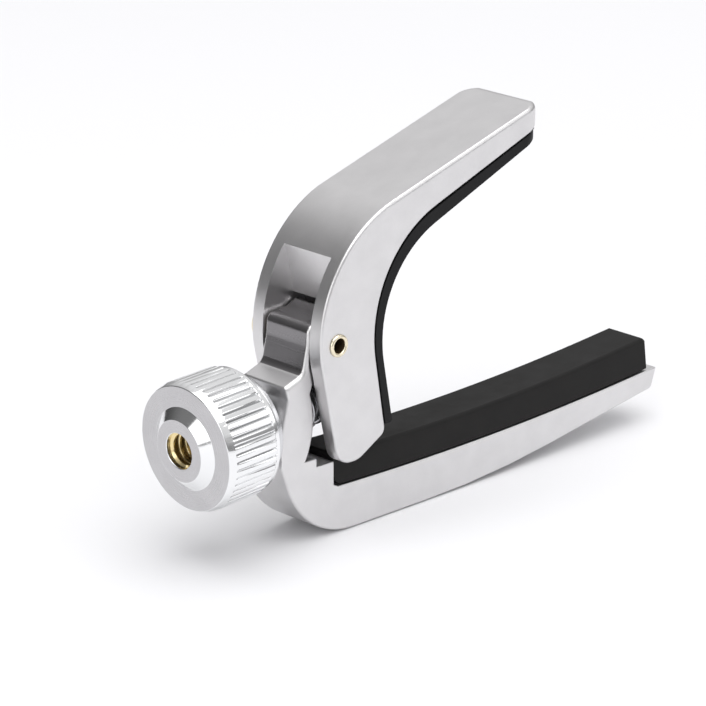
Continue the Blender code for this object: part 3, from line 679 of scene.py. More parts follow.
@dataclass(frozen=True)
class Axes:
    """The pivot and the screw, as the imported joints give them, in millimetres."""

    pivot: Vector
    swivel: Vector
    along: Vector

    @classmethod
    def read(cls) -> "Axes":
        """Reads them from the frame's joints."""
        joints = {joint["name"]: joint for joint in frame["joints"]}
        return cls(
            Vector(joints["arm_swing"]["pos_m"]) / MM,
            Vector(joints["knob_spin"]["pos_m"]) / MM,
            Vector(joints["knob_spin"]["axis"]).normalized(),
        )

    def screw_place(self) -> Matrix:
        """Frame whose Z axis runs along the screw from the swivel centre, in metres."""
        turn = self.along.to_track_quat("Z", "Y").to_matrix().to_4x4()
        return Matrix.Translation(self.swivel * MM) @ turn

    def pivot_place(self) -> Matrix:
        """Frame whose Z axis runs along the rivet towards its head, in metres."""
        return Matrix.Translation(self.pivot * MM) @ Matrix.Rotation(-math.pi / 2, 4, "X")

    def from_pivot(self, corners: Corners) -> Corners:
        """Corners measured from the pivot, in the row frame."""
        return [(self.pivot.x + x, self.pivot.z + z, r) for x, z, r in corners]


@dataclass
class Assembly:
    """What every sub-assembly shares: the axes and the way its pieces are handed over."""

    axes: Axes

    def hand_over(self, obj: Piece, body: str, node: str, slot: str) -> Piece:
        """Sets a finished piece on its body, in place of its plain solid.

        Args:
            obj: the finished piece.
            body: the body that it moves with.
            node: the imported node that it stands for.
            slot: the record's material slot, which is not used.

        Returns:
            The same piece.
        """
        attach(obj, body)
        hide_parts(node)
        LOG.info("%s: %d faces on body %s", obj.name, len(obj.data.polygons), body)
        return obj

    @staticmethod
    def turned(
        name: str, profile: Profile, steps: int, place: Matrix, *finishes: bpy.types.Material
    ) -> Piece:
        """Piece turned about Z of a place, smoothed and dressed.

        Args:
            name: the piece's name.
            profile: closed outline as radius and height.
            steps: number of steps round it.
            place: its place, in metres.
            *finishes: its materials, the first of them on every face.

        Returns:
            The piece.
        """
        obj = Bench.turn(name, profile, steps)
        Bench.place(obj, place)
        Bench.smooth(obj)
        dress(obj, *finishes)
        return obj


# ---------------------------------------------------------------- frame and string pad


@dataclass
class StringBar(Assembly):
    """The frame, from the lug round the pivot down its spine and along the bar, and its pad."""

    width: float = 8.0
    rim: float = 0.38
    screw_drop: float = 9.03
    spine_back: float = 7.65
    spine_bulge: float = 0.6
    spine_inside: float = 11.05
    lug_round: float = 0.62
    lug_front: float = -2.3
    lug_back: float = 0.9
    lug_top: float = 2.4
    shoulder: float = -4.55
    spine_head: tuple[float, float] = (-3.2, -4.9)
    seat_back: float = -3.6
    cross_rim: float = 0.3
    seat_rim: float = 0.16
    spot_face: float = 5.25
    spot_radius: float = 8.0
    cup_radius: float = 6.35
    bolt_hole: float = 2.7
    bolt_swing: float = 1.4
    spring_slot: tuple[float, float] = (3.3, 7.65)
    slot_span: tuple[float, float] = (3.4, 13.05)
    bush_bore: float = 2.15
    # depth below the pivot down to which faces get the darkened brushed finish, which is painted shade
    brushed_shade_drop: float = 3.6
    ledge: float = 9.85
    notch_step: float = 1.15
    heel_round: float = 12.0
    seat_height: float = 5.9
    seat_radius: float = 509.0
    seat_low: float = 21.2
    pad_height: float = 10.05
    pad_radius: float = 406.0
    pad_start: float = 1.4
    pad_lip: float = 1.7
    pad_draft: float = 0.5
    gap: float = 0.2
    reach: float = 62.5
    tip_depth: float = 2.9
    lug: Corners = field(
        default_factory=lambda: [
            (-6.4, -6.1, 1.0),
            (-6.8, -4.55, 0.0),
            (-3.75, -3.5, 1.4),
            (-2.95, 0.0, 3.0),
            (-2.8, 2.55, 1.3),
            (0.9, 2.8, 0.0),
            (2.35, 3.5, 0.4),
            (3.6, 1.5, 1.3),
            (3.4, -2.5, 2.0),
            (-2.0, -5.0, 0.0),
        ]
    )

    def hollow(self, start: float, end: float, height: float, radius: float) -> list[Vector]:
        """Shallow hollow arc along the bar, between two places along X."""
        count = 28
        low = self.axes.pivot.x + self.seat_low
        places = [start + (end - start) * i / count for i in range(count + 1)]
        return [Vector((x, height + radius - math.sqrt(radius**2 - (x - low) ** 2))) for x in places]

    def inner_face(self) -> list[Vector]:
        """Arc of the spine's inner face about the swivel, from its head to its foot."""
        centre = Vector((self.axes.swivel.x, self.axes.swivel.z))
        head = math.degrees(math.asin(3.4 / self.spine_inside))
        foot = math.degrees(math.asin(-4.8 / self.spine_inside))
        return arc_about(centre, self.spine_inside, head, foot, 2.5)

    def outline(self) -> list[Vector]:
        """Side outline of the whole frame."""
        pivot = self.axes.pivot
        back = pivot.x - self.spine_back
        wall = pivot.x + self.pad_start
        tip = pivot.x + self.reach
        floor = self.ledge + self.notch_step
        shelf = pivot.x - 1.55
        inner = self.inner_face()
        seat = self.hollow(wall + 0.8, tip, self.seat_height, self.seat_radius)
        corners = [
            (back + 3.95, 0, self.heel_round),
            (back - self.spine_bulge, pivot.z - self.screw_drop - 4.0, 7.0),
            *self.axes.from_pivot(self.lug),
            *[(p.x, p.y, 0) for p in inner],
            (inner[-1].x - 0.25, floor, 0.0),
            (shelf, floor, 0.0),
            (shelf, self.ledge, 0.0),
            (wall, self.ledge, 0.0),
            (wall, seat[0].y + 0.4, 0),
            *[(p.x, p.y, 0) for p in seat],
            (tip - 0.8, seat[-1].y - self.tip_depth, 0.7),
            (tip - 32.9, 0, 160.0),
        ]
        return rounded(corners, 4.0)

    def dropped_slot(self, radius: float, start: float, end: float) -> Piece:
        """Cutter round the screw that leaves room for the bolt to drop."""
        upper = arc_about(Vector((0, 0)), radius, 90, 270)
        lower = arc_about(Vector((self.bolt_swing, 0)), radius, -90, 90)
        tool = Bench.slab("slot_tool", upper + lower, start, end)
        Bench.place(tool, self.screw_frame())
        return tool

    def screw_frame(self) -> Matrix:
        """Frame along the screw whose X axis points down, in metres."""
        along = self.axes.along
        down = Vector((along.z, 0, -along.x))
        turn = Matrix((down, along.cross(down), along)).transposed().to_4x4()
        return Matrix.Translation(self.axes.swivel * MM) @ turn

    def rim_width(self, middle: Vector) -> float:
        """Width of the rounding at a place on the frame's rim.

        Args:
            middle: an edge's middle, in millimetres.

        Returns:
            The width, which grows on the lug's front.
        """
        pivot = self.axes.pivot
        x = middle.x - pivot.x
        z = middle.z - pivot.z
        if abs(middle.y) < self.width / 4:
            return self.cross_rim
        outer = x < self.lug_front or z > self.lug_top
        if x < self.lug_back and z > self.shoulder and outer:
            return self.lug_round
        if x > self.spine_head[0] and z > self.spine_head[1]:
            return self.cross_rim
        notch_top = self.ledge + self.notch_step + 0.1
        if x > self.seat_back and self.seat_height - 0.5 < middle.z < notch_top:
            return self.seat_rim
        return self.rim

    def build_frame(self) -> Piece:
        """Models the frame and dresses it."""
        obj = Bench.plate("frame_body", self.outline(), self.width)
        Bench.round_by_place(obj, self.rim_width, self.lug_round, 5)
        wide = self.spot_radius
        flat = [(0, self.spot_face), (wide, self.spot_face), (wide, 0), (0, 0)]
        ball = [(p.x, p.y) for p in arc_about(Vector((0, 0)), self.cup_radius, 90, -90, 5)]
        ball[0] = (0, ball[0][1])
        ball[-1] = (0, ball[-1][1])
        for tool in (Bench.turn("spot_tool", flat, 64), Bench.turn("cup_tool", ball, 64)):
            Bench.place(tool, self.screw_frame())
            Bench.join(obj, tool, Joining.CUT)
        deep, inside = self.spring_slot
        start, end = self.slot_span
        Bench.join(obj, self.dropped_slot(self.bolt_hole, start, end), Joining.CUT)
        Bench.join(obj, self.dropped_slot(deep, inside, end), Joining.CUT)
        Bench.bore(obj, self.bush_bore, 64, self.axes.pivot_place())
        Bench.smooth(obj, 30.0, flat_sides=True)
        # The second finish is the brushed one, darkened as painted shade. It goes on the faces above that
        # depth that look forwards, up or down, picked by their normals.
        dress(obj, CAST.make(), BRUSHED.make())
        low = self.axes.pivot.z - self.brushed_shade_drop
        dress_faces(
            obj,
            1,
            lambda at, normal: at.z > low and abs(normal.y) < 0.35 and normal.x < 0.2,
        )
        return self.hand_over(obj, "frame", "frame", "frame")

    def build_pad(self) -> Piece:
        """Models the rubber string pad, with its leaning flanks and soft edges."""
        start = self.axes.pivot.x + self.pad_start + self.gap
        end = self.axes.pivot.x + self.reach - self.pad_lip
        under = self.hollow(start, end, self.seat_height + self.gap, self.seat_radius)
        top = self.hollow(start, end, self.pad_height, self.pad_radius)
        low = Vector((start, under[0].y + 0.7))
        outline = [low, Vector((start + 0.7, under[0].y))] + under[1:] + top[::-1]
        obj = Bench.plate("string_pad_strip", outline, self.width - 0.04)
        bpy.ops.object.mode_set(mode="EDIT")
        body = bmesh.from_edit_mesh(obj.data)
        foot = self.seat_height
        for vertex in body.verts:
            rise = max(0.0, vertex.co.z / MM - foot) / (self.pad_height - foot)
            vertex.co.y *= 1 - self.pad_draft * rise / (self.width / 2)
        bmesh.update_edit_mesh(obj.data)
        Bench.close(obj)
        level = self.pad_height - 0.5
        Bench.bevel_edges(obj, lambda edge: self.is_pad_edge(edge, level), 0.5, 5)
        Bench.round_rims(obj, 0.12, 2, 50)
        Bench.smooth(obj, 35.0, flat_sides=True)
        dress(obj, RUBBER.make())
        return self.hand_over(obj, "frame", "string_pad", "string_pad")

    def is_pad_edge(self, edge: bmesh.types.BMEdge, level: float) -> bool:
        """Whether an edge runs round the pad's top."""
        high = all(v.co.z / MM > level - 0.2 for v in edge.verts)
        turned = len(edge.link_faces) == 2 and edge.calc_face_angle(0) > math.radians(40)
        return high and turned


# ---------------------------------------------------------------- jaw arm


@dataclass
class JawArm(Assembly):
    """The swinging arm with its neck pad, the rivet that it turns on and the bolt's pin."""

    width: float = 12.6
    reach: float = 36.7
    rise: float = 24.51
    tip_depth: float = 3.0
    back: float = 3.0
    back_slope: float = 0.291
    tail_drop: float = 16.0
    tail_front: float = 8.7
    inner_elbow: tuple[float, float] = (4.45, 9.8)
    elbow_round: float = 18.0
    inner_round: float = 16.0
    tip_corner: float = 3.0
    tip_round: float = 1.35
    tip_foot_round: float = 0.3
    rim: float = 0.38
    cut_rim: float = 0.11
    slot: float = 8.5
    web: float = 1.6
    web_drop: float = 12.5
    wedge_top: float = 10.7
    wedge_foot: tuple[float, float] = (2.3, 4.15)
    eye: tuple[float, float] = (5.1, -8.763)
    eye_room: float = 3.4
    eye_width: float = 6.6
    pin_radius: float = 1.25
    pin_room: float = 1.35
    pin_length: float = 10.5
    pad: float = 1.2
    gap: float = 0.2
    rivet_radius: float = 1.35
    rivet_head: tuple[float, float] = (2.5, 1.4)

    def liner_x(self, z: float) -> float:
        """X of the arm's straight inner line at a height from the pivot, below the elbow."""
        share = (self.inner_elbow[1] - z) / (self.inner_elbow[1] + self.tail_drop)
        return self.inner_elbow[0] + share * (self.tail_front - self.inner_elbow[0])

    def inner_line(self, depth: float) -> list[tuple[float, float]]:
        """Tail, elbow and tip corners of the arm's inner line, moved inwards by depth."""
        elbow_x, elbow_z = self.inner_elbow
        tip_z = self.rise - self.tip_depth
        slope = math.atan2(tip_z - elbow_z, self.reach - elbow_x)
        lean = math.atan2(self.tail_front - elbow_x, elbow_z + self.tail_drop)
        tail = (self.liner_x(-self.web_drop) + depth / math.cos(lean), -self.web_drop)
        lowered = elbow_z - depth * (1 + math.sin(slope)) / math.cos(slope)
        tip = (self.reach, tip_z - depth / math.cos(slope))
        return [tail, (elbow_x + depth, lowered), tip]

    def place(self, corners: Corners, step: float = 4.0) -> list[Vector]:
        """Outline in the row frame from corners about the pivot."""
        return rounded(self.axes.from_pivot(corners), step)

    def outline(self) -> list[Vector]:
        """Side outline of the arm."""
        _, elbow, tip = self.inner_line(0)
        crown = self.rise - self.back_slope * (self.reach + self.back)
        cheek = -self.web_drop - 0.9
        return self.place(
            [
                (*tip, 0),
                (self.reach - 0.4, self.rise, 0),
                (-self.back, crown, self.elbow_round),
                (-self.back, -1.5, 12.0),
                (0.2, -self.tail_drop, 2.6),
                (3.6, -self.tail_drop, 3.0),
                (self.liner_x(cheek), cheek, 1.2),
                (*elbow, self.inner_round),
            ]
        )

    def tip_plan(self, inset: float) -> Piece:
        """Tool whose plan has the tip's rounded corners, to trim a jaw piece with."""
        half = self.width / 2 - inset
        end = self.axes.pivot.x + self.reach - inset
        back = end - 3 * self.reach
        round_tip = [(end, -half, self.tip_corner), (end, half, self.tip_corner)]
        corners = [(back, -half, 0), *round_tip, (back, half, 0)]
        return Bench.slab("tip_tool", rounded(corners, 6.0), -20.0, 80.0)

    def channel(self) -> list[Vector]:
        """Outline of the slot between the cheeks, with the sloping pocket above it."""
        tail, elbow, _ = self.inner_line(-self.web)
        foot_x, foot_z = self.wedge_foot
        return self.place(
            [
                (-self.back - 6, self.wedge_top + 1.7, 0),
                (foot_x - 1.31, self.wedge_top, 0),
                (foot_x, foot_z, 0),
                (elbow[0] + 1.0, foot_z, 0.35),
                (elbow[0] + 2.4, 0, 8.0),
                (tail[0], -self.web_drop, 0),
                (self.tail_front + 4, -self.web_drop, 0),
                (self.tail_front + 4, -self.tail_drop - 4, 0),
                (-self.back - 6, -self.tail_drop - 4, 0),
            ]
        )

    def rim_width(self, middle: Vector) -> float:
        """Width of the rounding at a place on the arm's rim, which grows over its tip.

        Args:
            middle: an edge's middle, in millimetres.

        Returns:
            The width.
        """
        x = middle.x - self.axes.pivot.x
        top = self.rise - self.back_slope * (self.reach - x) - 0.4
        if middle.z - self.axes.pivot.z < top:
            return self.tip_foot_round if x > self.reach - 3 else self.rim
        share = min(max((x - self.reach + 3.4) / 3.0, 0.0), 1.0)
        return self.rim + (self.tip_round - self.rim) * share**2

    def build_arm(self) -> Piece:
        """Models the arm and dresses it."""
        obj = Bench.plate("jaw_arm", self.outline(), self.width)
        Bench.join(obj, self.tip_plan(0), Joining.TRIM)
        Bench.round_by_place(obj, self.rim_width, self.tip_round, 6, 50.0)
        Bench.join(obj, Bench.plate("channel_tool", self.channel(), self.slot), Joining.CUT)
        eye_x, eye_z = self.eye
        room = self.eye_room
        window = [
            (eye_x - room, eye_z - room, 0),
            (eye_x + 6, eye_z - room, 0),
            (eye_x + 6, eye_z + room, 0),
            (eye_x - room, eye_z + room, 0),
        ]
        Bench.join(obj, Bench.plate("window_tool", self.place(window), self.eye_width), Joining.CUT)
        centre = Vector((self.axes.pivot.x + eye_x, self.axes.pivot.z + eye_z))
        groove = arc_about(centre, self.pin_room, 90, 270)
        groove += [centre + Vector((6, -self.pin_room)), centre + Vector((6, self.pin_room))]
        Bench.join(obj, Bench.plate("groove_tool", groove, self.pin_length + 0.3), Joining.CUT)
        Bench.bore(obj, self.rivet_radius + 0.1, 48, self.axes.pivot_place())
        Bench.round_rims(obj, self.cut_rim, 2, 50)
        Bench.smooth(obj, 30.0, flat_sides=True)
        dress(obj, CAST.make())
        return self.hand_over(obj, "arm", "arm", "arm")

    def build_pad(self) -> Piece:
        """Models the thin rubber liner that the neck rests on."""
        outer = self.inner_line(self.gap)
        inner = self.inner_line(self.gap + self.pad)
        foot = -self.web_drop + 0.1
        outer_round = self.inner_round - self.gap
        outline = self.place(
            [
                (outer[0][0], foot, 0.1),
                (*outer[1], outer_round),
                (*outer[2], 0),
                (*inner[2], 0.4),
                (*inner[1], outer_round - self.pad),
                (inner[0][0], foot, 0.4),
            ]
        )
        obj = Bench.plate("neck_pad_liner", outline, self.width)
        Bench.join(obj, self.tip_plan(0.15), Joining.TRIM)
        Bench.round_rims(obj, 0.16, 3, 50)
        Bench.smooth(obj, 32.0, flat_sides=True)
        dress(obj, LINER.make())
        return self.hand_over(obj, "arm", "neck_pad", "neck_pad")

    def build_rivet(self) -> Piece:
        """Models the rivet, domed at one end and rolled over its hollow at the other."""
        radius = self.rivet_radius
        half = self.width / 2
        head_radius, head_height = self.rivet_head
        head = half + self.gap
        dome = [
            (head_radius * math.sin(math.radians(a)), head + head_height * math.cos(math.radians(a)))
            for a in range(0, 91, 6)
        ]
        end = -half - 0.25
        hollow = end + 4.0
        roll = arc_about(Vector((1.2, end + 0.2)), 0.27, 0, -180, 20)
        profile = [(0, dome[0][1])] + dome[1:] + [(head_radius - 0.1, head), (radius, head)]
        profile += [(radius, -half), (radius + 0.12, -half - 0.05)] + [(p.x, p.y) for p in roll]
        profile += [(0.92, hollow), (0, hollow + 0.5)]
        obj = Bench.turn("hollow_rivet", profile, 64)
        Bench.place(obj, self.axes.pivot_place())
        Bench.smooth(obj, 34.0)
        dress(obj, NICKEL.make(), RIVET_BORE.make())
        deep = -half + 0.25
        axis = self.axes.pivot
        inside = radius - 0.35
        dress_faces(
            obj,
            1,
            lambda at, normal: deep - 0.3 < at.y < hollow + 1
            and math.hypot(at.x - axis.x, at.z - axis.z) < inside,
        )
        return self.hand_over(obj, "arm", "pivot_rivet", "rivet")

    def build_bush(self) -> Piece:
        """Models the bronze sleeve that the rivet turns in."""
        outer, inner, half = 2.05, 1.45, 4.12
        profile = [(outer, half), (outer, -half), (inner, -half), (inner, half)]
        place = self.axes.pivot_place()
        obj = self.turned("pivot_sleeve", softened(profile, 0.15), 64, place, BRONZE.make(place))
        return self.hand_over(obj, "frame", "pivot_bush", "bush")

    def build_pin(self) -> Piece:
        """Models the cross pin that the bolt's eye pulls on."""
        half = self.pin_length / 2 - 0.01
        profile = [(0, half), (self.pin_radius, half), (self.pin_radius, -half), (0, -half)]
        eye = self.axes.pivot + Vector((self.eye[0], 0, self.eye[1]))
        place = Matrix.Translation(eye * MM) @ Matrix.Rotation(-math.pi / 2, 4, "X")
        obj = self.turned("cross_pin", softened(profile, 0.25), 48, place, STEEL.make(place))
        return self.hand_over(obj, "arm", "bolt_pin", "pin")


# ---------------------------------------------------------------- thumb nut


@dataclass
class ThumbNut(Assembly):
    """The fluted knob with its threaded insert and the ring behind it, along the screw."""

    radius: float = 8.35
    face: float = -6.85
    back: float = 1.45
    flutes: int = 50
    flute_steps: int = 8
    flute_depth: float = 0.5
    flute_lip: float = 0.09
    face_radius: float = 8.0
    band: float = 0.95
    flange: float = 0.6
    boss: tuple[float, float] = (5.35, 4.0)
    boss_height: float = 1.05
    bore: float = 3.4
    mouth: float = 2.3
    lip: float = 0.5
    insert: float = 3.3
    thread_crest: float = 2.0
    thread_root: float = 2.5
    pitch: float = 1.06
    ring: tuple[float, float] = (6.3, 2.7)
    ring_thickness: float = 0.75

    def body_profile(self) -> Profile:
        """Turned profile of the knob, front face, boss and rear flange."""
        front = self.face - self.boss_height
        shelf = front + self.lip
        rear = self.back - self.flange
        flange = self.radius - 0.2
        return [
            (p.x, p.y)
            for p in rounded(
                [
                    (self.bore, self.back, 0.2),
                    (flange, self.back, 0.12),
                    (flange, rear + 0.02, 0.0),
                    (self.radius - 0.35, rear - 0.04, 0.0),
                    (self.radius, rear - 0.28, 0.0),
                    (self.radius, self.face + self.band + 0.42, 0.0),
                    (self.radius - 0.03, self.face + self.band, 0.0),
                    (self.face_radius, self.face, 0.16),
                    (self.boss[0], self.face, 0.12),
                    (self.boss[1], front, 0.14),
                    (self.mouth, front, 0.12),
                    (self.mouth, shelf, 0.03),
                    (self.bore, shelf, 0.03),
                ],
                18.0,
            )
        ]

    def sink_flutes(self, obj: Piece) -> None:
        """Draws the turned grip in at each flute, which leaves the grooves between its crests."""
        low = self.face + self.band + 0.4
        high = self.back - self.flange - 0.26
        step = 2 * math.pi / (self.flutes * self.flute_steps)
        for offset, depth in ((0, self.flute_depth), (1, self.flute_lip), (-1, self.flute_lip)):
            Bench.hold(obj)
            bpy.ops.object.mode_set(mode="EDIT")
            bpy.ops.mesh.select_mode(type="VERT")
            bpy.ops.mesh.select_all(action="DESELECT")
            body = bmesh.from_edit_mesh(obj.data)
            for vertex in body.verts:
                x, y, z = vertex.co / MM
                turn = round(math.atan2(y, x) / step)
                on_crest = abs(math.hypot(x, y) - self.radius) < 0.01 and low < z < high
                if on_crest and (turn - offset) % self.flute_steps == 0:
                    vertex.select_set(True)
            bmesh.update_edit_mesh(obj.data)
            share = 1 - depth / self.radius
            bpy.ops.transform.resize(value=(share, share, 1), center_override=(0, 0, 0))
            bpy.ops.object.mode_set(mode="OBJECT")

    def build_knob(self) -> Piece:
        """Models the knob and dresses it."""
        obj = Bench.turn("thumb_knob", self.body_profile(), self.flutes * self.flute_steps)
        self.sink_flutes(obj)
        place = self.axes.screw_place()
        Bench.place(obj, place)
        Bench.smooth(obj, 24.0)
        dress(obj, CHROME.make(place), SATIN_TURNED.make(place))
        along = self.axes.along
        swivel = self.axes.swivel
        dress_faces(
            obj,
            1,
            lambda at, normal: normal.dot(along) < -0.97 and (at - swivel).dot(along) < self.face + 0.1,
        )
        return self.hand_over(obj, "knob", "knob", "knob")

    def build_insert(self) -> Piece:
        """Models the brass insert with its cut thread."""
        front = self.face - self.boss_height + self.lip + 0.1
        end = self.back - 0.3
        crest = self.thread_crest
        profile = [(self.insert, end), (self.insert, front), (crest + 0.28, front), (crest, front + 0.3)]
        profile += [(crest, end - 0.3), (crest + 0.28, end)]
        obj = Bench.turn("threaded_insert", profile, 72)
        Bench.join(obj, self.thread_tool(front), Joining.CUT)
        place = self.axes.screw_place()
        Bench.place(obj, place)
        Bench.smooth(obj, 28.0)
        dress(obj, BRASS.make(place))
        return self.hand_over(obj, "knob", "knob_insert", "insert")

    def thread_tool(self, front: float) -> Piece:
        """Cutter that sweeps the thread's groove along the whole insert."""
        inner = self.thread_crest - 0.2
        outer = self.thread_root
        turns = math.ceil((self.back - front) / self.pitch) + 3
        middle = thread_phase(front - 1.5 * self.pitch, self.pitch)
        section = [
            Vector((inner, middle - 0.5)),
            Vector((outer, middle - 0.12)),
            Vector((outer, middle + 0.12)),
            Vector((inner, middle + 0.5)),
        ]
        return Bench.coil("thread_tool", section, self.pitch, turns, 48)

    def build_ring(self) -> Piece:
        """Models the black ring that the knob bears on."""
        outer, inner = self.ring
        end = self.back + 0.2
        top = end + self.ring_thickness
        profile = [(outer, top), (outer, end), (inner, end), (inner, top)]
        place = self.axes.screw_place()
        obj = self.turned("nylon_ring", softened(profile, 0.15), 96, place, NYLON.make())
        return self.hand_over(obj, "knob", "friction_ring", "friction_ring")


def thread_phase(at: float, pitch: float) -> float:
    """Nearest place at or past a height where the thread's groove crosses its start line."""
    return math.ceil(at / pitch) * pitch


# ---------------------------------------------------------------- bolt, washers and spring


@dataclass
class DrawBolt(Assembly):
    """The eye bolt, the washers that it passes through and the spring on it, along the screw."""

    thread: float = 2.4
    root: float = 1.9
    pitch: float = 1.06
    tip: float = -3.7
    plain: float = 6.4
    collar: tuple[float, float] = (15.567, 16.367)
    collar_radius: float = 3.1
    eye_centre: float = 18.167
    eye_radius: float = 2.2
    eye_width: float = 6.0
    eye_hole: float = 1.4
    bolt_hole: float = 2.7
    washer_start: float = 8.0
    washer_thickness: float = 0.5
    seat_radius: float = 3.15
    spring_wire: float = 0.55
    spring_turns: int = 5
    swivel_nose: float = 3.3
    swivel_front: float = 5.05
    swivel_end: float = 3.5
    swivel_radius: float = 3.7
    cup: float = 6.2
    knob_washer: tuple[float, float] = (6.7, 2.6)
    knob_washer_thickness: float = 0.7

    def build_bolt(self) -> Piece:
        """Models the bolt with its thread, collar and cross-drilled eye."""
        start, end = self.collar
        rim = self.thread
        profile = [
            (0, self.eye_centre - 0.4),
            (rim, self.eye_centre - 0.4),
            (rim, end),
            (self.collar_radius - 0.15, end),
            (self.collar_radius, end - 0.15),
            (self.collar_radius, start + 0.15),
            (self.collar_radius - 0.15, start),
            (rim, start),
            (rim, self.plain),
            (self.root, self.plain - 0.5),
            (self.root, self.tip + 0.45),
            (self.root - 0.45, self.tip),
            (0, self.tip),
        ]
        obj = Bench.turn("eye_bolt", profile, 64)
        Bench.join(obj, self.thread_ridge(), Joining.WELD)
        half = self.eye_width / 2
        bar = [(0, half), (self.eye_radius, half), (self.eye_radius, -half), (0, -half)]
        eye = Bench.turn("eye_tool", softened(bar, 0.25), 64)
        turn = Matrix.Rotation(-math.pi / 2, 4, "X")
        across = Matrix.Translation((0, 0, self.eye_centre * MM)) @ turn
        Bench.place(eye, across)
        Bench.join(obj, eye, Joining.WELD)
        Bench.bore(obj, self.eye_hole, 48, across)
        place = self.axes.screw_place()
        Bench.place(obj, place)
        Bench.smooth(obj, 28.0)
        dress(obj, STEEL.make(place))
        return self.hand_over(obj, "bolt", "draw_bolt", "bolt")

    def thread_ridge(self) -> Piece:
        """The thread's ridge, in step with the groove of the knob's insert."""
        middle = thread_phase(self.tip + 0.7, self.pitch)
        turns = int((self.plain - 0.9 - middle) / self.pitch)
        section = [
            Vector((self.root - 0.15, middle - 0.38)),
            Vector((self.root, middle - 0.36)),
            Vector((self.thread, middle - 0.06)),
            Vector((self.thread, middle + 0.06)),
            Vector((self.root, middle + 0.36)),
            Vector((self.root - 0.15, middle + 0.38)),
        ]
        return Bench.coil("ridge_tool", section, self.pitch, turns, 48)

    def ring(self, name: str, outer: float, inner: float, start: float, thickness: float) -> Piece:
        """Plain washer along the screw, with soft edges."""
        top = start + thickness
        profile = [(outer, top), (outer, start), (inner, start), (inner, top)]
        soft = softened(profile, min(0.12, thickness / 4))
        place = self.axes.screw_place()
        return self.turned(name, soft, 96, place, STEEL.make(place))

    def build_washers(self) -> None:
        """Models the knob's washer, the spring's washer and the ball-nosed swivel washer."""
        outer, start = self.knob_washer
        thickness = self.knob_washer_thickness
        knob_washer = self.ring("thrust_washer", outer, self.bolt_hole, start, thickness)
        self.hand_over(knob_washer, "swivel", "knob_washer", "knob_washer")
        inner = self.thread + 0.1
        thickness = self.washer_thickness
        seat = self.ring("spring_seat", self.seat_radius, inner, self.washer_start, thickness)
        self.hand_over(seat, "swivel", "spring_washer", "spring_washer")
        first = math.degrees(math.acos(self.bolt_hole / self.cup))
        last = math.degrees(math.acos(self.swivel_nose / self.cup))
        nose = [(p.x, p.y) for p in arc_about(Vector((0, 0)), self.cup, first, last, 1.5)]
        profile = nose + [
            (self.swivel_nose, self.swivel_front),
            (self.swivel_radius - 0.1, self.swivel_front),
            (self.swivel_radius, self.swivel_front - 0.1),
            (self.swivel_radius, self.swivel_end + 0.1),
            (self.swivel_radius - 0.1, self.swivel_end),
            (self.bolt_hole, self.swivel_end),
        ]
        place = self.axes.screw_place()
        swivel = self.turned("ball_nose_washer", profile, 96, place, STEEL.make(place))
        self.hand_over(swivel, "swivel", "swivel_washer", "swivel_washer")

    def build_spring(self) -> Piece:
        """Models the coil spring between its washer and the bolt's collar."""
        seat = self.washer_start + self.washer_thickness
        wire = self.spring_wire
        low = seat + wire / 2 + 0.1
        high = self.collar[0] - wire / 2 - 0.1
        middle = self.thread + 0.2 + wire / 2
        close = 1.05 * wire
        steps = 32
        open_turns = self.spring_turns - 2
        open_rise = (high - low - 2 * close) / open_turns
        Bench.free()
        bpy.ops.curve.primitive_nurbs_path_add(enter_editmode=False)
        obj = bpy.context.active_object
        obj.name = "opening_coil"
        curve = obj.data
        curve.splines.clear()
        spline = curve.splines.new("POLY")
        spline.points.add(self.spring_turns * steps)
        for i, point in enumerate(spline.points):
            turn = i / steps
            rise = close * min(turn, 1) + close * max(turn - self.spring_turns + 1, 0)
            rise += open_rise * min(max(turn - 1, 0), open_turns)
            angle = 2 * math.pi * turn
            place = Vector((middle * math.cos(angle), middle * math.sin(angle), low + rise)) * MM
            point.co = (*place, 1)
        curve.bevel_depth = wire / 2 * MM
        curve.bevel_resolution = 3
        curve.use_fill_caps = True
        bpy.ops.object.convert(target="MESH")
        bpy.ops.object.mode_set(mode="EDIT")
        Bench.close(obj)
        Bench.place(obj, self.axes.screw_place())
        Bench.smooth(obj, 40.0)
        dress(obj, SPRING_STEEL.make())
        self.hand_over(obj, "swivel", "opening_spring", "spring")
        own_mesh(obj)
        return obj

    def full_turn(self) -> float:
        """How far the knob turns from open to closed, in radians."""
        joint = next(j for j in frame["joints"] if j["name"] == "knob_spin")
        return math.radians(joint["range_deg"][1])


# ---------------------------------------------------------------- studio


@dataclass(frozen=True)
class Softbox:
    """One soft studio light."""

    name: str
    place: tuple[float, float, float]
    aim: tuple[float, float, float]
    size: tuple[float, float]
    power: float

    def make(self) -> None:
        """Adds the light, aimed at its point."""
        light = bpy.data.lights.new(self.name, "AREA")
        light.shape = "RECTANGLE"
        light.size, light.size_y = self.size
        light.energy = self.power
        obj = bpy.data.objects.new(self.name, light)
        bpy.context.scene.collection.objects.link(obj)
        obj.location = self.place
        ray = Vector(self.aim) - Vector(self.place)
        obj.rotation_euler = ray.to_track_quat("-Z", "Y").to_euler()


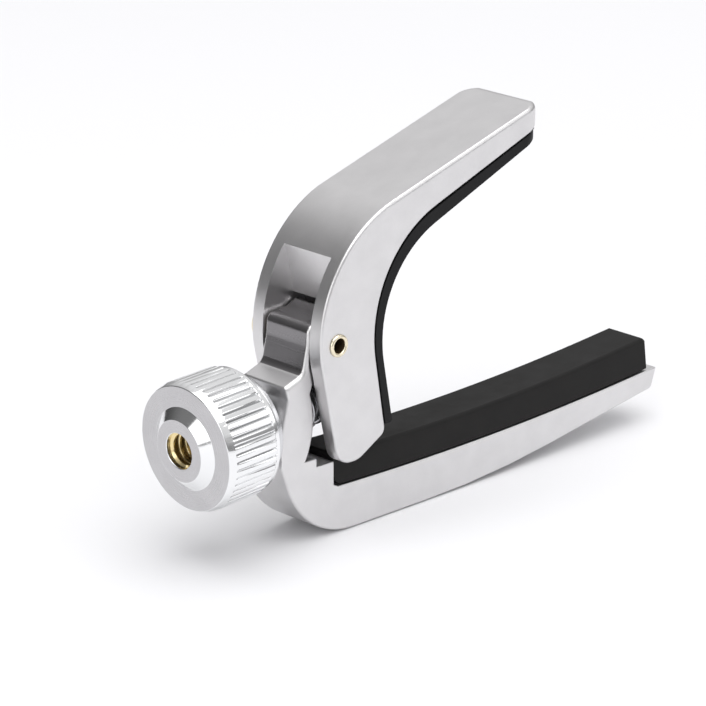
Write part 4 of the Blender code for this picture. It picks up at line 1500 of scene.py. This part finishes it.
@dataclass
class Studio:
    """Pale floor, soft light and the camera."""

    lens: float = 185.1
    sensor: float = 36.0
    camera_place: tuple[float, float, float] = (-314.5, -311.2, 170.7)
    camera_turn: tuple[float, float, float] = (71.02, 0.0, -44.18)
    floor_size: float = 12.0
    floor_colour: tuple[float, float, float] = (0.86, 0.86, 0.875)
    sky: tuple[tuple[float, float], ...] = (
        (0.0, 0.10),
        (0.50, 0.20),
        (0.60, 0.40),
        (0.72, 0.76),
        (1.0, 0.86),
    )
    dark_side: tuple[float, float, float] = (-0.7, 0.7, 0.1)
    dark_span: tuple[float, float] = (0.25, 0.85)
    dark_level: float = 0.25
    boxes: tuple[Softbox, ...] = (
        Softbox("top_box", (-0.1, -0.2, 1.1), (0, 0, 0), (1.3, 1.3), 9.6),
        Softbox("left_box", (-1.0, -0.16, 0.34), (-0.03, 0, 0.02), (0.8, 0.55), 2.2),
        Softbox("right_box", (0.7, -1.1, 0.6), (0, 0, 0.02), (0.8, 0.6), 1.4),
    )

    def build(self) -> None:
        """Sets up the floor, the sky, the lights and the camera."""
        self.build_floor()
        self.build_sky()
        for softbox in self.boxes:
            softbox.make()
        self.build_camera()
        bpy.context.scene.view_settings.view_transform = "Standard"

    def build_floor(self) -> None:
        """Lays the floor, a wide pale table top."""
        Bench.free()
        bpy.ops.mesh.primitive_plane_add(size=self.floor_size, location=(0, 0, -0.0001))
        floor = bpy.context.active_object
        floor.name = "table_top"
        graph = Graph("pale_paper")
        cloud = graph.noise(graph.coordinates(Matrix.Identity(4)), 400.0, 2.0)
        dim = tuple(c * 0.99 for c in self.floor_colour)
        graph.tint(cloud, dim, self.floor_colour)
        graph.set(roughness=0.7)
        floor.data.materials.append(graph.material)

    def build_sky(self) -> None:
        """Makes the room's light, darker at the horizon than overhead."""
        world = bpy.data.worlds.new("studio_room")
        bpy.context.scene.world = world
        world.use_nodes = True
        tree = world.node_tree
        source = tree.nodes.new("ShaderNodeTexCoord")
        split = tree.nodes.new("ShaderNodeSeparateXYZ")
        share = tree.nodes.new("ShaderNodeMapRange")
        share.inputs["From Min"].default_value = -1.0
        ramp = tree.nodes.new("ShaderNodeValToRGB")
        steps = ramp.color_ramp.elements
        while len(steps) < len(self.sky):
            steps.new(0.5)
        for step, (at, level) in zip(steps, self.sky):
            step.position = at
            step.color = (level, level * 0.997, level * 1.005, 1)
        tree.links.new(source.outputs["Generated"], split.inputs["Vector"])
        tree.links.new(split.outputs["Z"], share.inputs["Value"])
        tree.links.new(share.outputs["Result"], ramp.inputs["Fac"])
        tree.links.new(ramp.outputs["Color"], tree.nodes["Background"].inputs["Color"])
        aim = tree.nodes.new("ShaderNodeVectorMath")
        aim.operation = "DOT_PRODUCT"
        aim.inputs[1].default_value = self.dark_side
        shade = tree.nodes.new("ShaderNodeMapRange")
        shade.interpolation_type = "SMOOTHSTEP"
        near, far = self.dark_span
        shade.inputs["From Min"].default_value = near
        shade.inputs["From Max"].default_value = far
        shade.inputs["To Min"].default_value = 1.0
        shade.inputs["To Max"].default_value = self.dark_level
        tree.links.new(source.outputs["Generated"], aim.inputs[0])
        tree.links.new(aim.outputs["Value"], shade.inputs["Value"])
        tree.links.new(shade.outputs["Result"], tree.nodes["Background"].inputs["Strength"])

    def build_camera(self) -> None:
        """Sets the camera at its place."""
        data = bpy.data.cameras.new("studio_camera")
        data.lens = self.lens
        data.sensor_width = self.sensor
        data.clip_start = 0.01
        camera = bpy.data.objects.new("studio_camera", data)
        bpy.context.scene.collection.objects.link(camera)
        camera.location = Vector(self.camera_place) * MM
        camera.rotation_euler = [math.radians(a) for a in self.camera_turn]
        bpy.context.scene.camera = camera


# ---------------------------------------------------------------- all of it


def main() -> None:
    """Builds every piece on its body."""
    logging.basicConfig(level=logging.INFO, format="%(name)s: %(message)s")
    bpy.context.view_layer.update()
    axes = Axes.read()
    bar = StringBar(axes)
    bar.build_frame()
    bar.build_pad()
    arm = JawArm(axes)
    arm.build_arm()
    arm.build_pad()
    arm.build_rivet()
    arm.build_bush()
    arm.build_pin()
    nut = ThumbNut(axes)
    nut.build_knob()
    nut.build_insert()
    nut.build_ring()
    bolt = DrawBolt(axes)
    bolt.build_bolt()
    bolt.build_washers()
    bolt.build_spring()
    Bench.free()
    Studio().build()


if __name__ == "__main__":
    main()
